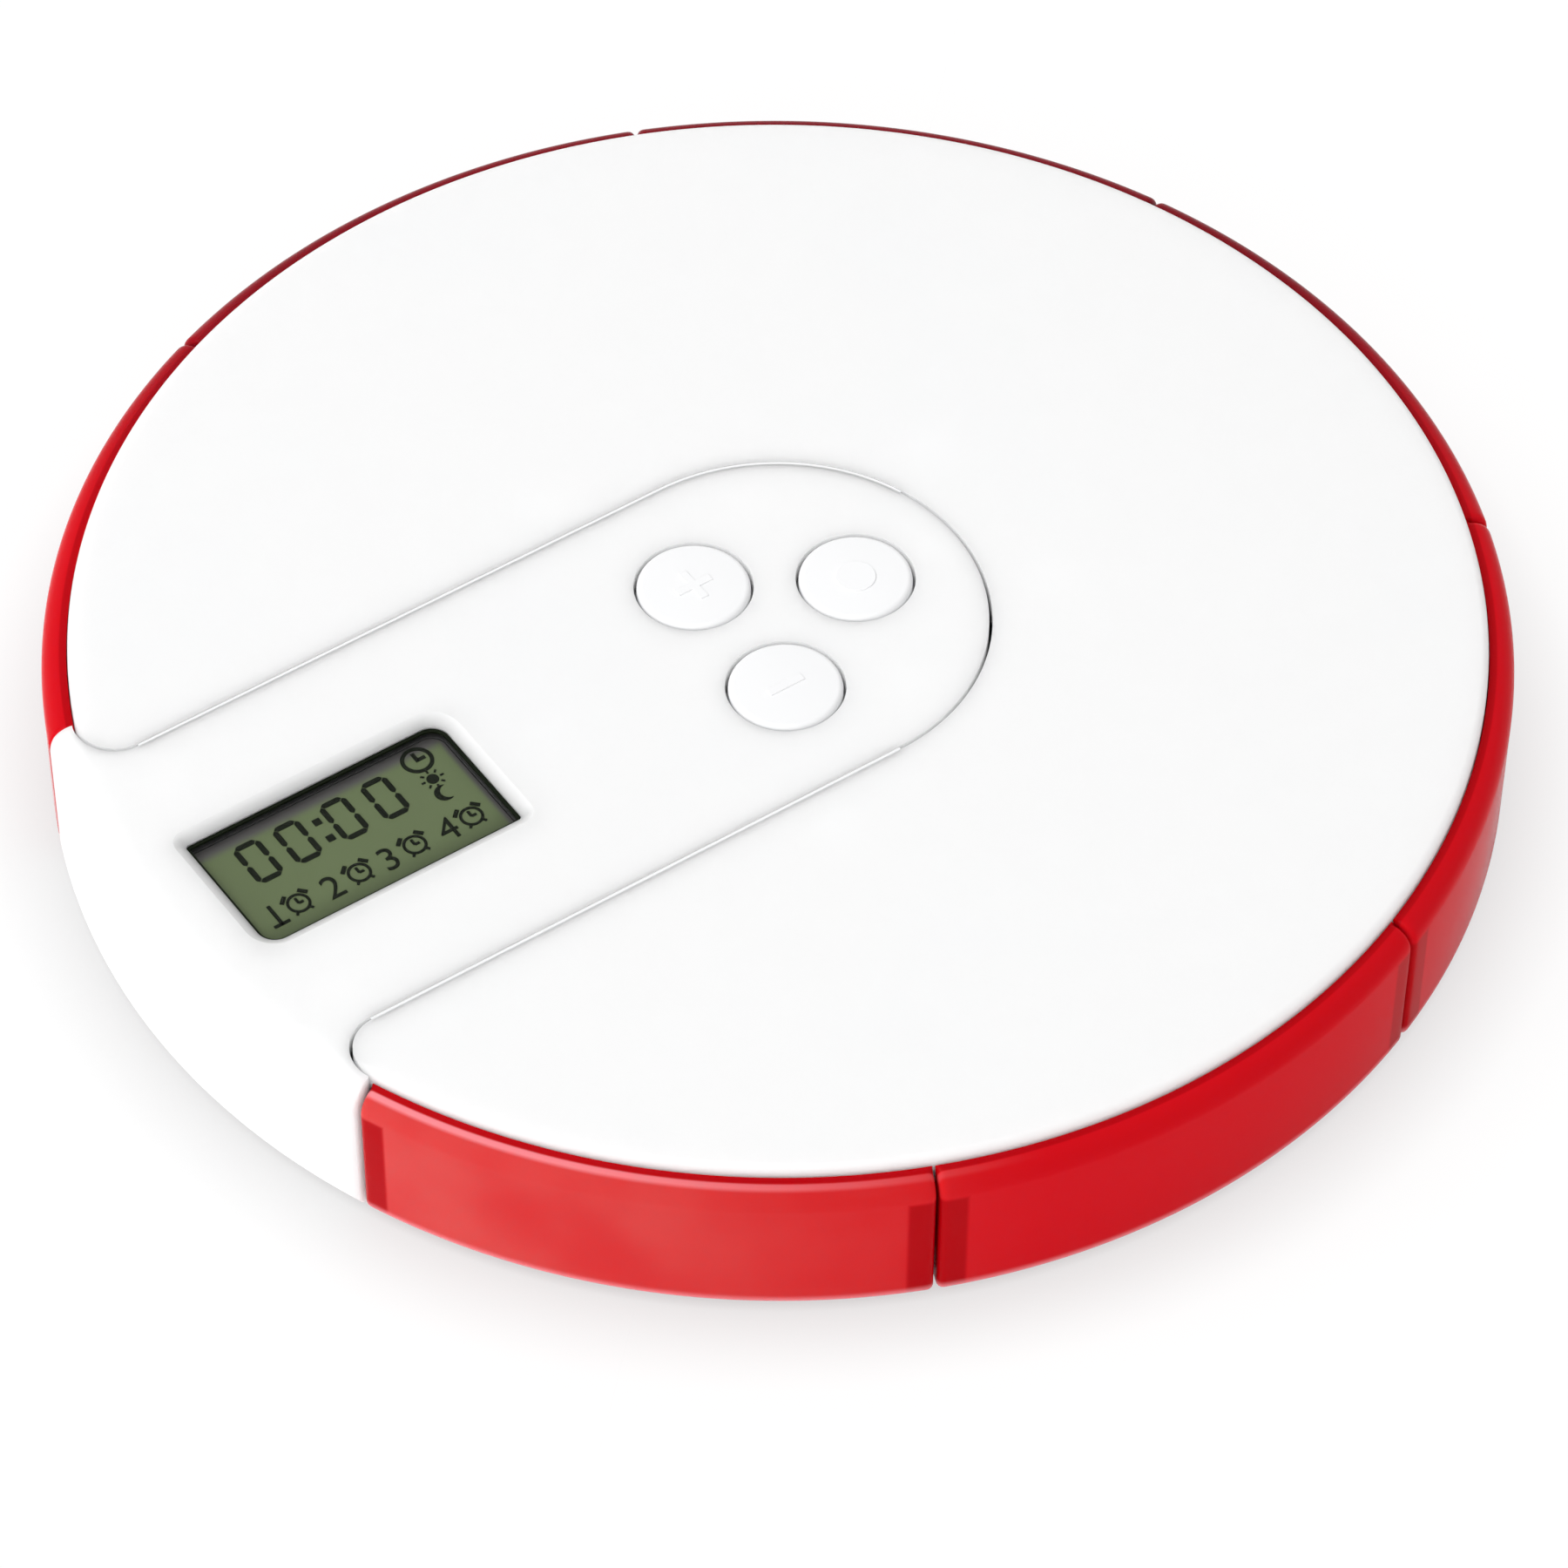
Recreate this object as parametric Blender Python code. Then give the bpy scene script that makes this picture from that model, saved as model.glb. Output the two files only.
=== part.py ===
"""Round seven-day pill box with an alarm clock, as solids.

Seven red drawers shaped like slices pull straight out from under a white lid. The eighth slice and
the tongue that runs from it to the middle are one white panel with a display and three buttons, and
the electronics lie under it. Lengths are in metres and +Z is up. The origin is on the table under
the middle of the box. The display reads upright from -Y, and its slice is on the -X side.
"""

import math

import bmesh
import bpy
from mathutils import Matrix

# Whole box
SLICES = 8
GAP = 0.0003
RUN_GAP = 0.0003
EMBED = 0.0005
OVERRUN = 0.0020

# Rim: the drawer fronts and the panel's outer wall
FRONT_WALL = 0.0021
FRONT_LIFT = 0.0008
FRONT_DROP = 0.0010
FRONT_DRAFT = 0.0002
FRONT_TOP_ROUND = 0.0018
RIM_FOOT_ROUND = 0.0010
FRONT_END_ROUND = 0.0006
PANEL_EDGE_ROUND = 0.0028
SEAM = 0.0004

# Lid
LID_THICKNESS = 0.0020
LID_EDGE_ROUND = 0.00075

# Base plate
BASE_LIFT = 0.0005
FLOOR_THICKNESS = 0.0016
DIVIDER = 0.0010
HUB_MARGIN = 0.0044
HUB_WALL = 0.0015
HUB_DROP = 0.0002
NECK_EDGE = 0.0003
SOUND_HOLE_RADIUS = 0.0007
SOUND_HOLE_PITCH = 0.0030
SOUND_HOLES = 4

# Drawers
TRAY_FLOOR = 0.0015
TRAY_SIDE = 0.0014
TRAY_INNER_END = 0.0015
TRAY_INNER_GAP = 0.0015
TRAY_HEADROOM = 0.0028
TRAY_CORNER_ROUND = 0.0030
TRAY_LIP = 0.0007
GUIDE_WIDTH = 0.0030
GUIDE_LENGTH = 0.0040
GUIDE_EDGE = 0.0008
GUIDE_HEIGHT = 0.0006
GROOVE_DEPTH = 0.0009

# Tongue of the panel
TONGUE_BORDER = 0.00525
GROOVE = 0.00035

# Buttons
BUTTON_RADIUS = 0.00505
BUTTON_RING_RADIUS = 0.0083
BUTTON_PROUD = 0.00015
BUTTON_ROUND = 0.0005
BUTTON_FLANGE = 0.0006
BUTTON_FLANGE_THICKNESS = 0.0009
BUTTON_HOLLOW_RADIUS = 0.0039
BUTTON_HOLLOW_DEPTH = 0.0020
BUTTON_PIN_RADIUS = 0.0015
BUTTON_TRAVEL = 0.0004
MARK_LENGTH = 0.0036
MARK_WIDTH = 0.0008
MARK_HEIGHT = 0.0001

# Push switches
SWITCH_WIDTH = 0.0060
SWITCH_HEIGHT = 0.0030
STEM_RADIUS = 0.0017
STEM_LENGTH = 0.0017
STEM_ENGAGE = 0.0007

# Display
WINDOW_LENGTH = 0.0259
WINDOW_WIDTH = 0.0133
WINDOW_ROUND = 0.0018
WINDOW_TIGHT_ROUND = 0.0004
WINDOW_BEVEL = 0.0011
WINDOW_BEVEL_DEPTH = 0.0008
WINDOW_LEDGE = 0.0010
PANE_THICKNESS = 0.0005
PANE_MARGIN = 0.0012
PANE_ROUND = 0.0015
BEZEL_HEIGHT = 0.0005
BEZEL_REVEAL = 0.00025
GLASS_END_BORDER = 0.00205
GLASS_SIDE_BORDER = 0.00185
GLASS_SHEET = 0.0009
GLASS_STEP = 0.0012
FRAME_WALL = 0.0009
FRAME_LEDGE = 0.0007
FRAME_SIDE_GAP = 0.000145
FRAME_INSET = 0.0046
STRIP_WIDTH = 0.0014

# Circuit board
BOARD_THICKNESS = 0.0010
BOARD_HUB_GAP = 0.0065
BOARD_NECK_GAP = 0.0010
BOARD_END_GAP = 0.0060
BOARD_RIM_GAP = 0.0055
CHIP_RADIUS = 0.0036
CHIP_HEIGHT = 0.0012
CHIP_GAP = 0.0070
CHIP_SIDE = 0.0020
CRYSTAL_RADIUS = 0.0010
CRYSTAL_LENGTH = 0.0060
CRYSTAL_SIDE = 0.0050
BUZZER_RADIUS = 0.0060
BUZZER_HEIGHT = 0.0032
BUZZER_MOUTH_RADIUS = 0.0010
BUZZER_MOUTH_DEPTH = 0.0008
BUZZER_REACH = 0.0030

# Supply
CELL_RADIUS = 0.0100
CELL_THICKNESS = 0.0032
CELL_CAP_INSET = 0.0014
CELL_CAP_HEIGHT = 0.0003
CELL_OFFSET = 0.0140
SPRING_ROOM = 0.0020
DOOR_CELL_GAP = 0.0005
DOOR_RING_WALL = 0.0012
DOOR_RING_HEIGHT = 0.0011
DOOR_LUG = 0.0015
DOOR_LUG_HEIGHT = 0.0008
DOOR_LUG_ANGLE = math.radians(28.0)
DOOR_NOTCH_ANGLE = math.radians(36.0)
DOOR_TURN = math.radians(45.0)
DOOR_SLOT_LENGTH = 0.0120
DOOR_SLOT_WIDTH = 0.0016
DOOR_SLOT_DEPTH = 0.0007
WELL_WALL = 0.0010
WELL_GAP = 0.0004
WELL_HEIGHT = 0.0047
CONTACT_SHEET = 0.00025
CONTACT_WIDTH = 0.0040
CONTACT_REACH = 0.0060
CONTACT_FOOT = 0.0025

# Screws and feet
CASE_HEAD_RADIUS = 0.0016
CASE_HEAD_HEIGHT = 0.0010
CASE_SHANK_RADIUS = 0.0010
CASE_SHANK_LENGTH = 0.0080
CASE_BOSS_RADIUS = 0.0022
SLEEVE_WALL = 0.0008
SLEEVE_HEIGHT = 0.0029
SEAT_HEIGHT = 0.0014
BOARD_HEAD_RADIUS = 0.0013
BOARD_HEAD_HEIGHT = 0.0008
BOARD_SHANK_RADIUS = 0.0007
BOARD_SHANK_LENGTH = 0.0042
BOARD_POST_RADIUS = 0.0018
LID_SCREW_OFFSET = 0.0005
PANEL_SCREW_INSET = 0.0097
PANEL_SCREW_GAP = 0.0007
NOSE_SCREW_EDGE = 0.0001
BOARD_SCREW_INSET = 0.00285
BOARD_SCREW_ANGLE = math.radians(66.0)
NECK_SCREW_GAP = 0.0022
FOOT_RADIUS = 0.0040
FOOT_THICKNESS = 0.0010
FOOT_INSET = 0.0150
FOOT_RECESS = 0.0008

# Smoothness of the rounds
SLICE_STEPS = 12
ROUND_STEPS = 3
CORNER_STEPS = 4
SMALL_STEPS = 12
BUTTON_STEPS = 28

# Shape of a round bevel
ROUND_SHARE = 0.5

# Turns
QUARTER_TURN = math.pi / 2.0
HALF_TURN = math.pi
FULL_TURN = 2.0 * math.pi
SLICE = FULL_TURN / SLICES
HALF_SLICE = SLICE / 2.0
CIRCLE_STEPS = SLICES * SLICE_STEPS
DRAWER_ANGLES = [SLICE * (i - (SLICES - 2) // 2) for i in range(SLICES - 1)]
DIVIDER_ANGLES = [HALF_SLICE * (2 * i + 1) for i in range(SLICES)]

# Heights, from the floor up: the cell, the board and a button over it set where the lid lies
FLOOR_TOP = BASE_LIFT + FLOOR_THICKNESS
CELL_BOTTOM = FLOOR_TOP + GAP
CELL_TOP = CELL_BOTTOM + CELL_THICKNESS
BOARD_PLACE = CELL_TOP + SPRING_ROOM
BOARD_TOP = BOARD_PLACE + BOARD_THICKNESS
PART_SEAT = BOARD_TOP + GAP
SWITCH_TOP = PART_SEAT + SWITCH_HEIGHT
STEM_BOTTOM = SWITCH_TOP - STEM_ENGAGE
STEM_TOP = STEM_BOTTOM + STEM_LENGTH
BUTTON_BOTTOM = STEM_TOP + GAP
UNDER_LID = BUTTON_BOTTOM + BUTTON_FLANGE_THICKNESS + GAP
CASE_HEIGHT = UNDER_LID + LID_THICKNESS
FRONT_TOP = CASE_HEIGHT - FRONT_DROP
TRAY_BOTTOM = FLOOR_TOP + RUN_GAP
TRAY_TOP = UNDER_LID - TRAY_HEADROOM
PANE_TOP = CASE_HEIGHT - WINDOW_LEDGE - GAP
PANE_BOTTOM = PANE_TOP - PANE_THICKNESS
BEZEL_TOP = PANE_BOTTOM - GAP
BEZEL_BOTTOM = BEZEL_TOP - BEZEL_HEIGHT
GLASS_TOP = BEZEL_BOTTOM - GAP
GLASS_BOTTOM = GLASS_TOP - 2.0 * GLASS_SHEET
LUG_BOTTOM = FLOOR_TOP + RUN_GAP
LUG_TOP = LUG_BOTTOM + DOOR_LUG_HEIGHT
SEAT_TOP = BASE_LIFT + SEAT_HEIGHT
SLEEVE_TOP = FLOOR_TOP + SLEEVE_HEIGHT
CASE_HEAD_TOP = SEAT_TOP - GAP
BOARD_HEAD_TOP = BOARD_PLACE - GAP

# Tongue and hub, from the buttons outwards
HALF_TONGUE = BUTTON_RING_RADIUS + BUTTON_RADIUS + TONGUE_BORDER
HALF_CUTOUT = HALF_TONGUE + GROOVE
BUTTON_HOLE_RADIUS = BUTTON_RADIUS + RUN_GAP
HUB_ROOM = HALF_TONGUE + HUB_MARGIN
HUB_RADIUS = HUB_ROOM + HUB_WALL
HALF_NECK = HUB_ROOM * math.sin(HALF_SLICE) - NECK_EDGE
TRAY_INNER_PLACE = HUB_RADIUS + TRAY_INNER_GAP
LID_SCREW_REACH = HUB_RADIUS + LID_SCREW_OFFSET
NOSE_SCREW_PLACE = (HALF_TONGUE - NOSE_SCREW_EDGE - CASE_BOSS_RADIUS, 0.0)

# Display, from the window outwards, and the radius of the box that its frame asks for
GLASS_LENGTH = WINDOW_LENGTH + 2.0 * GLASS_END_BORDER
GLASS_WIDTH = WINDOW_WIDTH + 2.0 * GLASS_SIDE_BORDER
LOWER_GLASS_WIDTH = GLASS_WIDTH + 2.0 * GLASS_STEP
FRAME_LENGTH = GLASS_LENGTH + 2.0 * (GAP + FRAME_WALL)
FRAME_WIDTH = LOWER_GLASS_WIDTH + 2.0 * (GAP + FRAME_WALL)
FRAME_BESIDE = DIVIDER / 2.0 + FRAME_SIDE_GAP
FRAME_START = (FRAME_WIDTH / 2.0 * math.cos(HALF_SLICE) + FRAME_BESIDE) / math.sin(HALF_SLICE)
CASE_RADIUS = FRAME_START + FRAME_LENGTH + FRAME_INSET
WINDOW_PLACE = -(FRAME_START + FRAME_LENGTH / 2.0)

# Rim
FRONT_INNER_RADIUS = CASE_RADIUS - FRONT_WALL
HALF_SEAM_ANGLE = SEAM / 2.0 / CASE_RADIUS
LID_RADIUS = FRONT_INNER_RADIUS - GAP
BASE_RADIUS = LID_RADIUS

# Drawers: each comes out until its inner end meets the guide near the base's edge
GUIDE_END = BASE_RADIUS - GUIDE_EDGE
GUIDE_START = GUIDE_END - GUIDE_LENGTH

# Board and what it carries
BOARD_HUB_RADIUS = HUB_ROOM - BOARD_HUB_GAP
HALF_BOARD_NECK = HALF_NECK - BOARD_NECK_GAP
BOARD_END_START = -(HUB_RADIUS + BOARD_END_GAP)
BOARD_END = -(CASE_RADIUS - BOARD_RIM_GAP)
BUZZER_PLACE = (-BUZZER_REACH, 0.0)

# Supply and case screws
CELL_PLACE = (-(FRAME_START + CELL_OFFSET), 0.0)
DOOR_RADIUS = CELL_RADIUS + DOOR_CELL_GAP + DOOR_RING_WALL
LUG_RADIUS = DOOR_RADIUS + DOOR_LUG
WELL_RADIUS = LUG_RADIUS + GAP + WELL_WALL
NECK_SCREW_PLACE = (CELL_PLACE[0] + WELL_RADIUS + NECK_SCREW_GAP + BOARD_HEAD_RADIUS, 0.0)
CHIP_PLACE = (NECK_SCREW_PLACE[0] + CHIP_GAP, -CHIP_SIDE)
CRYSTAL_PLACE = (NECK_SCREW_PLACE[0] + CHIP_GAP, CRYSTAL_SIDE)
SLEEVE_RADIUS = CASE_HEAD_RADIUS + GAP + SLEEVE_WALL
PANEL_SCREW_PLACE = (PANEL_SCREW_INSET - CASE_RADIUS, FRAME_WIDTH / 2.0 + PANEL_SCREW_GAP + CASE_BOSS_RADIUS)
FOOT_REACH = CASE_RADIUS - FOOT_INSET


def polar(radius, angle):
    """Point at a distance and an angle from the middle."""
    return (radius * math.cos(angle), radius * math.sin(angle))


def arc(centre, radius, start, end, steps):
    """Points along an arc, both ends included."""
    points = []
    for i in range(steps + 1):
        x, y = polar(radius, start + (end - start) * i / steps)
        points.append((centre[0] + x, centre[1] + y))
    return points


def circle(centre, radius, steps=SMALL_STEPS):
    """Points once round a circle."""
    return arc(centre, radius, 0.0, FULL_TURN, steps)[:-1]


def rounded_box(centre, length, width, rounds):
    """Outline of a rectangle, with the rounds of its corners from +X +Y counter-clockwise."""
    outline = []
    for quarter, (side_x, side_y) in enumerate(((1, 1), (-1, 1), (-1, -1), (1, -1))):
        radius = rounds[quarter]
        x = centre[0] + side_x * (length / 2.0 - radius)
        y = centre[1] + side_y * (width / 2.0 - radius)
        start = quarter * QUARTER_TURN
        outline += arc((x, y), radius, start, start + QUARTER_TURN, CORNER_STEPS)
    return outline


def box_outline(low, high):
    """Outline of a plain rectangle between two corners."""
    return [(low[0], low[1]), (high[0], low[1]), (high[0], high[1]), (low[0], high[1])]


def turn_outline(outline, angle):
    """An outline turned about the middle."""
    cosine, sine = math.cos(angle), math.sin(angle)
    return [(x * cosine - y * sine, x * sine + y * cosine) for x, y in outline]


def new_object(mesh, name):
    """A bmesh made into an object in the scene."""
    bmesh.ops.recalc_face_normals(mesh, faces=mesh.faces)
    data = bpy.data.meshes.new(name)
    mesh.to_mesh(data)
    mesh.free()
    thing = bpy.data.objects.new(name, data)
    bpy.context.scene.collection.objects.link(thing)
    return thing


def prism(name, outline, low, high):
    """An outline extruded from one height to another."""
    mesh = bmesh.new()
    face = mesh.faces.new([mesh.verts.new((x, y, low)) for x, y in outline])
    raised = bmesh.ops.extrude_face_region(mesh, geom=[face], use_keep_orig=True)
    corners = [part for part in raised["geom"] if isinstance(part, bmesh.types.BMVert)]
    bmesh.ops.translate(mesh, vec=(0.0, 0.0, high - low), verts=corners)
    return new_object(mesh, name)


def stacked(name, levels):
    """Outlines with as many points, one over the other, with straight faces between them."""
    mesh = bmesh.new()
    rings = [[mesh.verts.new((x, y, height)) for x, y in outline] for outline, height in levels]
    mesh.faces.new(rings[0])
    mesh.faces.new(rings[-1])
    for low, high in zip(rings, rings[1:]):
        for i, corner in enumerate(low):
            mesh.faces.new((low[i - 1], corner, high[i], high[i - 1]))
    return new_object(mesh, name)


def side_prism(name, outline, low, high):
    """An outline in X and Z extruded along Y."""
    thing = prism(name, outline, low, high)
    thing.data.transform(Matrix(((1, 0, 0, 0), (0, 0, 1, 0), (0, 1, 0, 0), (0, 0, 0, 1))))
    thing.data.flip_normals()
    return thing


def turned(name, profile, centre=(0.0, 0.0), steps=SMALL_STEPS, closed=False):
    """A profile of radius and height spun round the axis. It ends on the axis or is closed."""
    mesh = bmesh.new()
    points = [mesh.verts.new((radius, 0.0, height)) for radius, height in profile]
    edges = [mesh.edges.new(pair) for pair in zip(points, points[1:])]
    if closed:
        edges.append(mesh.edges.new((points[-1], points[0])))
    bmesh.ops.spin(mesh, geom=points + edges, cent=(0.0, 0.0, 0.0), axis=(0.0, 0.0, 1.0),
                   dvec=(0.0, 0.0, 0.0), angle=FULL_TURN, steps=steps)
    bmesh.ops.remove_doubles(mesh, verts=mesh.verts, dist=GAP / CIRCLE_STEPS)
    bmesh.ops.translate(mesh, vec=(centre[0], centre[1], 0.0), verts=mesh.verts)
    return new_object(mesh, name)


def combine(target, tool, operation):
    """Joins, cuts or keeps the overlap of two solids in the first, and removes the second."""
    modifier = target.modifiers.new(operation.title(), "BOOLEAN")
    modifier.operation = operation
    modifier.object = tool
    graph = bpy.context.evaluated_depsgraph_get()
    shape = bpy.data.meshes.new_from_object(target.evaluated_get(graph))
    target.modifiers.clear()
    target.data = shape
    bpy.data.objects.remove(tool)


def join(target, tool):
    """Joins a second solid to the first."""
    combine(target, tool, "UNION")


def cut(target, tool):
    """Cuts a second solid out of the first."""
    combine(target, tool, "DIFFERENCE")


def keep_inside(target, tool):
    """Keeps what two solids share."""
    combine(target, tool, "INTERSECT")


def finish(thing, material, smooth_angle=math.radians(35.0)):
    """Gives a finished piece its material and smooth rounds."""
    thing.data.materials.clear()
    thing.data.materials.append(material)
    thing.data.shade_smooth()
    thing.data.set_sharp_from_angle(angle=smooth_angle)
    return thing


def set_origin(thing, place):
    """Puts a moving piece's origin on its joint's axis, with its shape left in place."""
    thing.data.transform(Matrix.Translation((-place[0], -place[1], 0.0)))
    thing.location = (place[0], place[1], 0.0)


def make_material(name, colour, roughness, metallic=0.0, alpha=1.0):
    """A plain surface of one colour."""
    material = bpy.data.materials.new(name)
    material.use_nodes = True
    shader = material.node_tree.nodes["Principled BSDF"]
    shader.inputs["Base Color"].default_value = (*colour, 1.0)
    shader.inputs["Roughness"].default_value = roughness
    shader.inputs["Metallic"].default_value = metallic
    shader.inputs["Alpha"].default_value = alpha
    return material


def white_plastic():
    return make_material("white_plastic", (0.93, 0.93, 0.94), 0.35)


def red_plastic():
    return make_material("red_plastic", (0.62, 0.015, 0.02), 0.2, alpha=0.85)


def clear_plastic():
    return make_material("clear_plastic", (0.9, 0.95, 0.9), 0.05, alpha=0.3)


def black_plastic():
    return make_material("black_plastic", (0.02, 0.02, 0.02), 0.45)


def display_glass_material():
    return make_material("display_glass", (0.19, 0.25, 0.14), 0.15)


def black_rubber():
    return make_material("black_rubber", (0.03, 0.03, 0.03), 0.8)


def board_green():
    return make_material("board_green", (0.02, 0.16, 0.06), 0.4)


def steel():
    return make_material("steel", (0.6, 0.6, 0.6), 0.3, metallic=1.0)


def lid_screw_places():
    """The lid's screws stand where four of the dividers meet the hub."""
    angles = [side * HALF_SLICE * share for side in (1, -1) for share in (1, 5)]
    return [polar(LID_SCREW_REACH, angle) for angle in angles]


def panel_screw_places():
    """Two of the panel's screws stand beside the display, and one in the tongue's round end."""
    x, y = PANEL_SCREW_PLACE
    return [(x, y), (x, -y), NOSE_SCREW_PLACE]


def board_screw_places():
    """Two of the board's screws stand beside the set button, and one in the neck."""
    reach = BOARD_HUB_RADIUS - BOARD_SCREW_INSET
    return [polar(reach, BOARD_SCREW_ANGLE), polar(reach, -BOARD_SCREW_ANGLE), NECK_SCREW_PLACE]


def button_places():
    """Plus, minus and set, evenly round the middle."""
    angles = (HALF_TURN * 2.0 / 3.0, -HALF_TURN * 2.0 / 3.0, 0.0)
    return [polar(BUTTON_RING_RADIUS, angle) for angle in angles]


def rim_profile(top, top_round):
    """Half section of a disc with the rim's wall, its round foot and its round top edge."""
    foot = CASE_RADIUS - FRONT_DRAFT
    profile = [(0.0, FRONT_LIFT)]
    profile += arc((foot - RIM_FOOT_ROUND, FRONT_LIFT + RIM_FOOT_ROUND), RIM_FOOT_ROUND,
                   -QUARTER_TURN, 0.0, ROUND_STEPS)
    profile += arc((CASE_RADIUS - top_round, top - top_round), top_round,
                   0.0, QUARTER_TURN, ROUND_STEPS + 1)
    profile.append((0.0, top))
    return profile


def corner_round():
    """Round of the lid's two corners beside the tongue, which end where the drawers begin."""
    edge = math.sin(HALF_SLICE - HALF_SEAM_ANGLE)
    return (LID_RADIUS * edge - HALF_CUTOUT) / (1.0 + edge)


def corner_centre(side):
    """Middle of that round, on the +Y or -Y side of the tongue."""
    radius = corner_round()
    y = HALF_CUTOUT + radius
    return (-math.sqrt((LID_RADIUS - radius) ** 2 - y ** 2), side * y)


def tongue_outline(half_width, flare_round, end_points):
    """Tongue and slice seen from above: round nose, straight sides, flares and an outer end."""
    top = corner_centre(1)
    bottom = corner_centre(-1)
    meet = math.atan2(top[1], top[0])
    outline = arc((0.0, 0.0), half_width, -QUARTER_TURN, QUARTER_TURN, 2 * SLICE_STEPS)
    outline += arc(top, flare_round, -QUARTER_TURN, meet - FULL_TURN, 2 * CORNER_STEPS)
    outline += end_points
    outline += arc(bottom, flare_round, FULL_TURN - meet, QUARTER_TURN, 2 * CORNER_STEPS)
    return outline


def cutout_outline():
    """What the tongue and the slice take out of the lid."""
    far = CASE_RADIUS + OVERRUN
    meet = HALF_TURN - math.atan2(corner_centre(1)[1], -corner_centre(1)[0])
    ends = [polar(far, meet), (-far, far * math.sin(meet)), (-far, -far * math.sin(meet)), polar(far, -meet)]
    return tongue_outline(HALF_CUTOUT, corner_round(), ends)


def panel_outline():
    """The panel from above, with blunt rounded ends beside the drawers' fronts."""
    start = HALF_TURN - HALF_SLICE + HALF_SEAM_ANGLE
    end_round = FRONT_WALL / 2.0 - GAP / 2.0
    outer = CASE_RADIUS + EMBED / 2.0
    turn = end_round / (outer - end_round)
    near = polar(outer - end_round, start + turn)
    far = polar(outer - end_round, -start - turn)
    ends = arc(near, end_round, start - QUARTER_TURN, start + turn, CORNER_STEPS)
    ends += arc((0.0, 0.0), outer, start + turn, FULL_TURN - start - turn, SLICE_STEPS)[1:-1]
    ends += arc(far, end_round, -start - turn, -start + QUARTER_TURN, CORNER_STEPS)
    return tongue_outline(HALF_TONGUE, corner_round() + GROOVE, ends)


def tray_outline(side, inner, outer, corner):
    """A drawer from above, its middle along +X: side is what lies between it and its slice."""
    sine, cosine = math.sin(HALF_SLICE), math.cos(HALF_SLICE)
    reach = HALF_SLICE - math.asin(side / outer)
    x = inner + corner
    along = (x - (side + corner) * sine) / cosine
    y = along * sine - (side + corner) * cosine
    outline = arc((0.0, 0.0), outer, -reach, reach, SLICE_STEPS)
    outline += arc((x, y), corner, HALF_SLICE + QUARTER_TURN, HALF_TURN, CORNER_STEPS)
    outline += arc((x, -y), corner, HALF_TURN, HALF_TURN + QUARTER_TURN - HALF_SLICE, CORNER_STEPS)
    return outline


def drawer_front():
    """Curved front of a drawer, with all its outer edges rounded."""
    profile = rim_profile(FRONT_TOP, FRONT_TOP_ROUND)[1:-1]
    profile = [(FRONT_INNER_RADIUS, FRONT_LIFT)] + profile + [(FRONT_INNER_RADIUS, FRONT_TOP)]
    mesh = bmesh.new()
    start = HALF_SEAM_ANGLE - HALF_SLICE
    points = [mesh.verts.new((*polar(radius, start), height)) for radius, height in profile]
    face = mesh.faces.new(points)
    swept = bmesh.ops.spin(mesh, geom=[face], cent=(0.0, 0.0, 0.0), axis=(0.0, 0.0, 1.0),
                           dvec=(0.0, 0.0, 0.0), angle=-2.0 * start, steps=SLICE_STEPS)
    last = [part for part in swept["geom_last"] if isinstance(part, bmesh.types.BMFace)]
    bmesh.ops.recalc_face_normals(mesh, faces=mesh.faces)
    rim = {edge for end in [face] + last for edge in end.edges}
    inside = FRONT_INNER_RADIUS + GAP
    outer_edges = [edge for edge in rim if max(math.hypot(*v.co.xy) for v in edge.verts) > inside]
    bmesh.ops.bevel(mesh, geom=outer_edges, offset=FRONT_END_ROUND, offset_type="OFFSET", segments=2,
                    profile=ROUND_SHARE, affect="EDGES", clamp_overlap=True)
    return new_object(mesh, "front")


def drawer_shape(material):
    """A tray with its curved front and the groove that its guide runs in."""
    side = DIVIDER / 2.0 + RUN_GAP
    backing = FRONT_INNER_RADIUS + FRONT_WALL / 2.0
    tray = prism("drawer", tray_outline(side, TRAY_INNER_PLACE, backing, TRAY_CORNER_ROUND),
                 TRAY_BOTTOM, TRAY_TOP)
    room = tray_outline(side + TRAY_SIDE, TRAY_INNER_PLACE + TRAY_INNER_END, FRONT_INNER_RADIUS - TRAY_LIP,
                        TRAY_CORNER_ROUND - TRAY_SIDE)
    cut(tray, prism("room", room, TRAY_BOTTOM + TRAY_FLOOR, TRAY_TOP + OVERRUN))
    groove_half = GUIDE_WIDTH / 2.0 + RUN_GAP
    groove_end = GUIDE_END + RUN_GAP
    groove = box_outline((TRAY_INNER_PLACE + TRAY_INNER_END, -groove_half), (groove_end, groove_half))
    cut(tray, prism("groove", groove, TRAY_BOTTOM - OVERRUN, TRAY_BOTTOM + GROOVE_DEPTH))
    join(tray, drawer_front())
    return finish(tray, material).data


def make_drawers(material):
    """Seven drawers of one shape, each turned to its slice."""
    shape = drawer_shape(material)
    spare = bpy.data.objects["drawer"]
    bpy.data.objects.remove(spare)
    for number, angle in enumerate(DRAWER_ANGLES, start=1):
        drawer = bpy.data.objects.new(f"drawer_{number}", shape)
        drawer.rotation_euler.z = angle
        bpy.context.scene.collection.objects.link(drawer)


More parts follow.
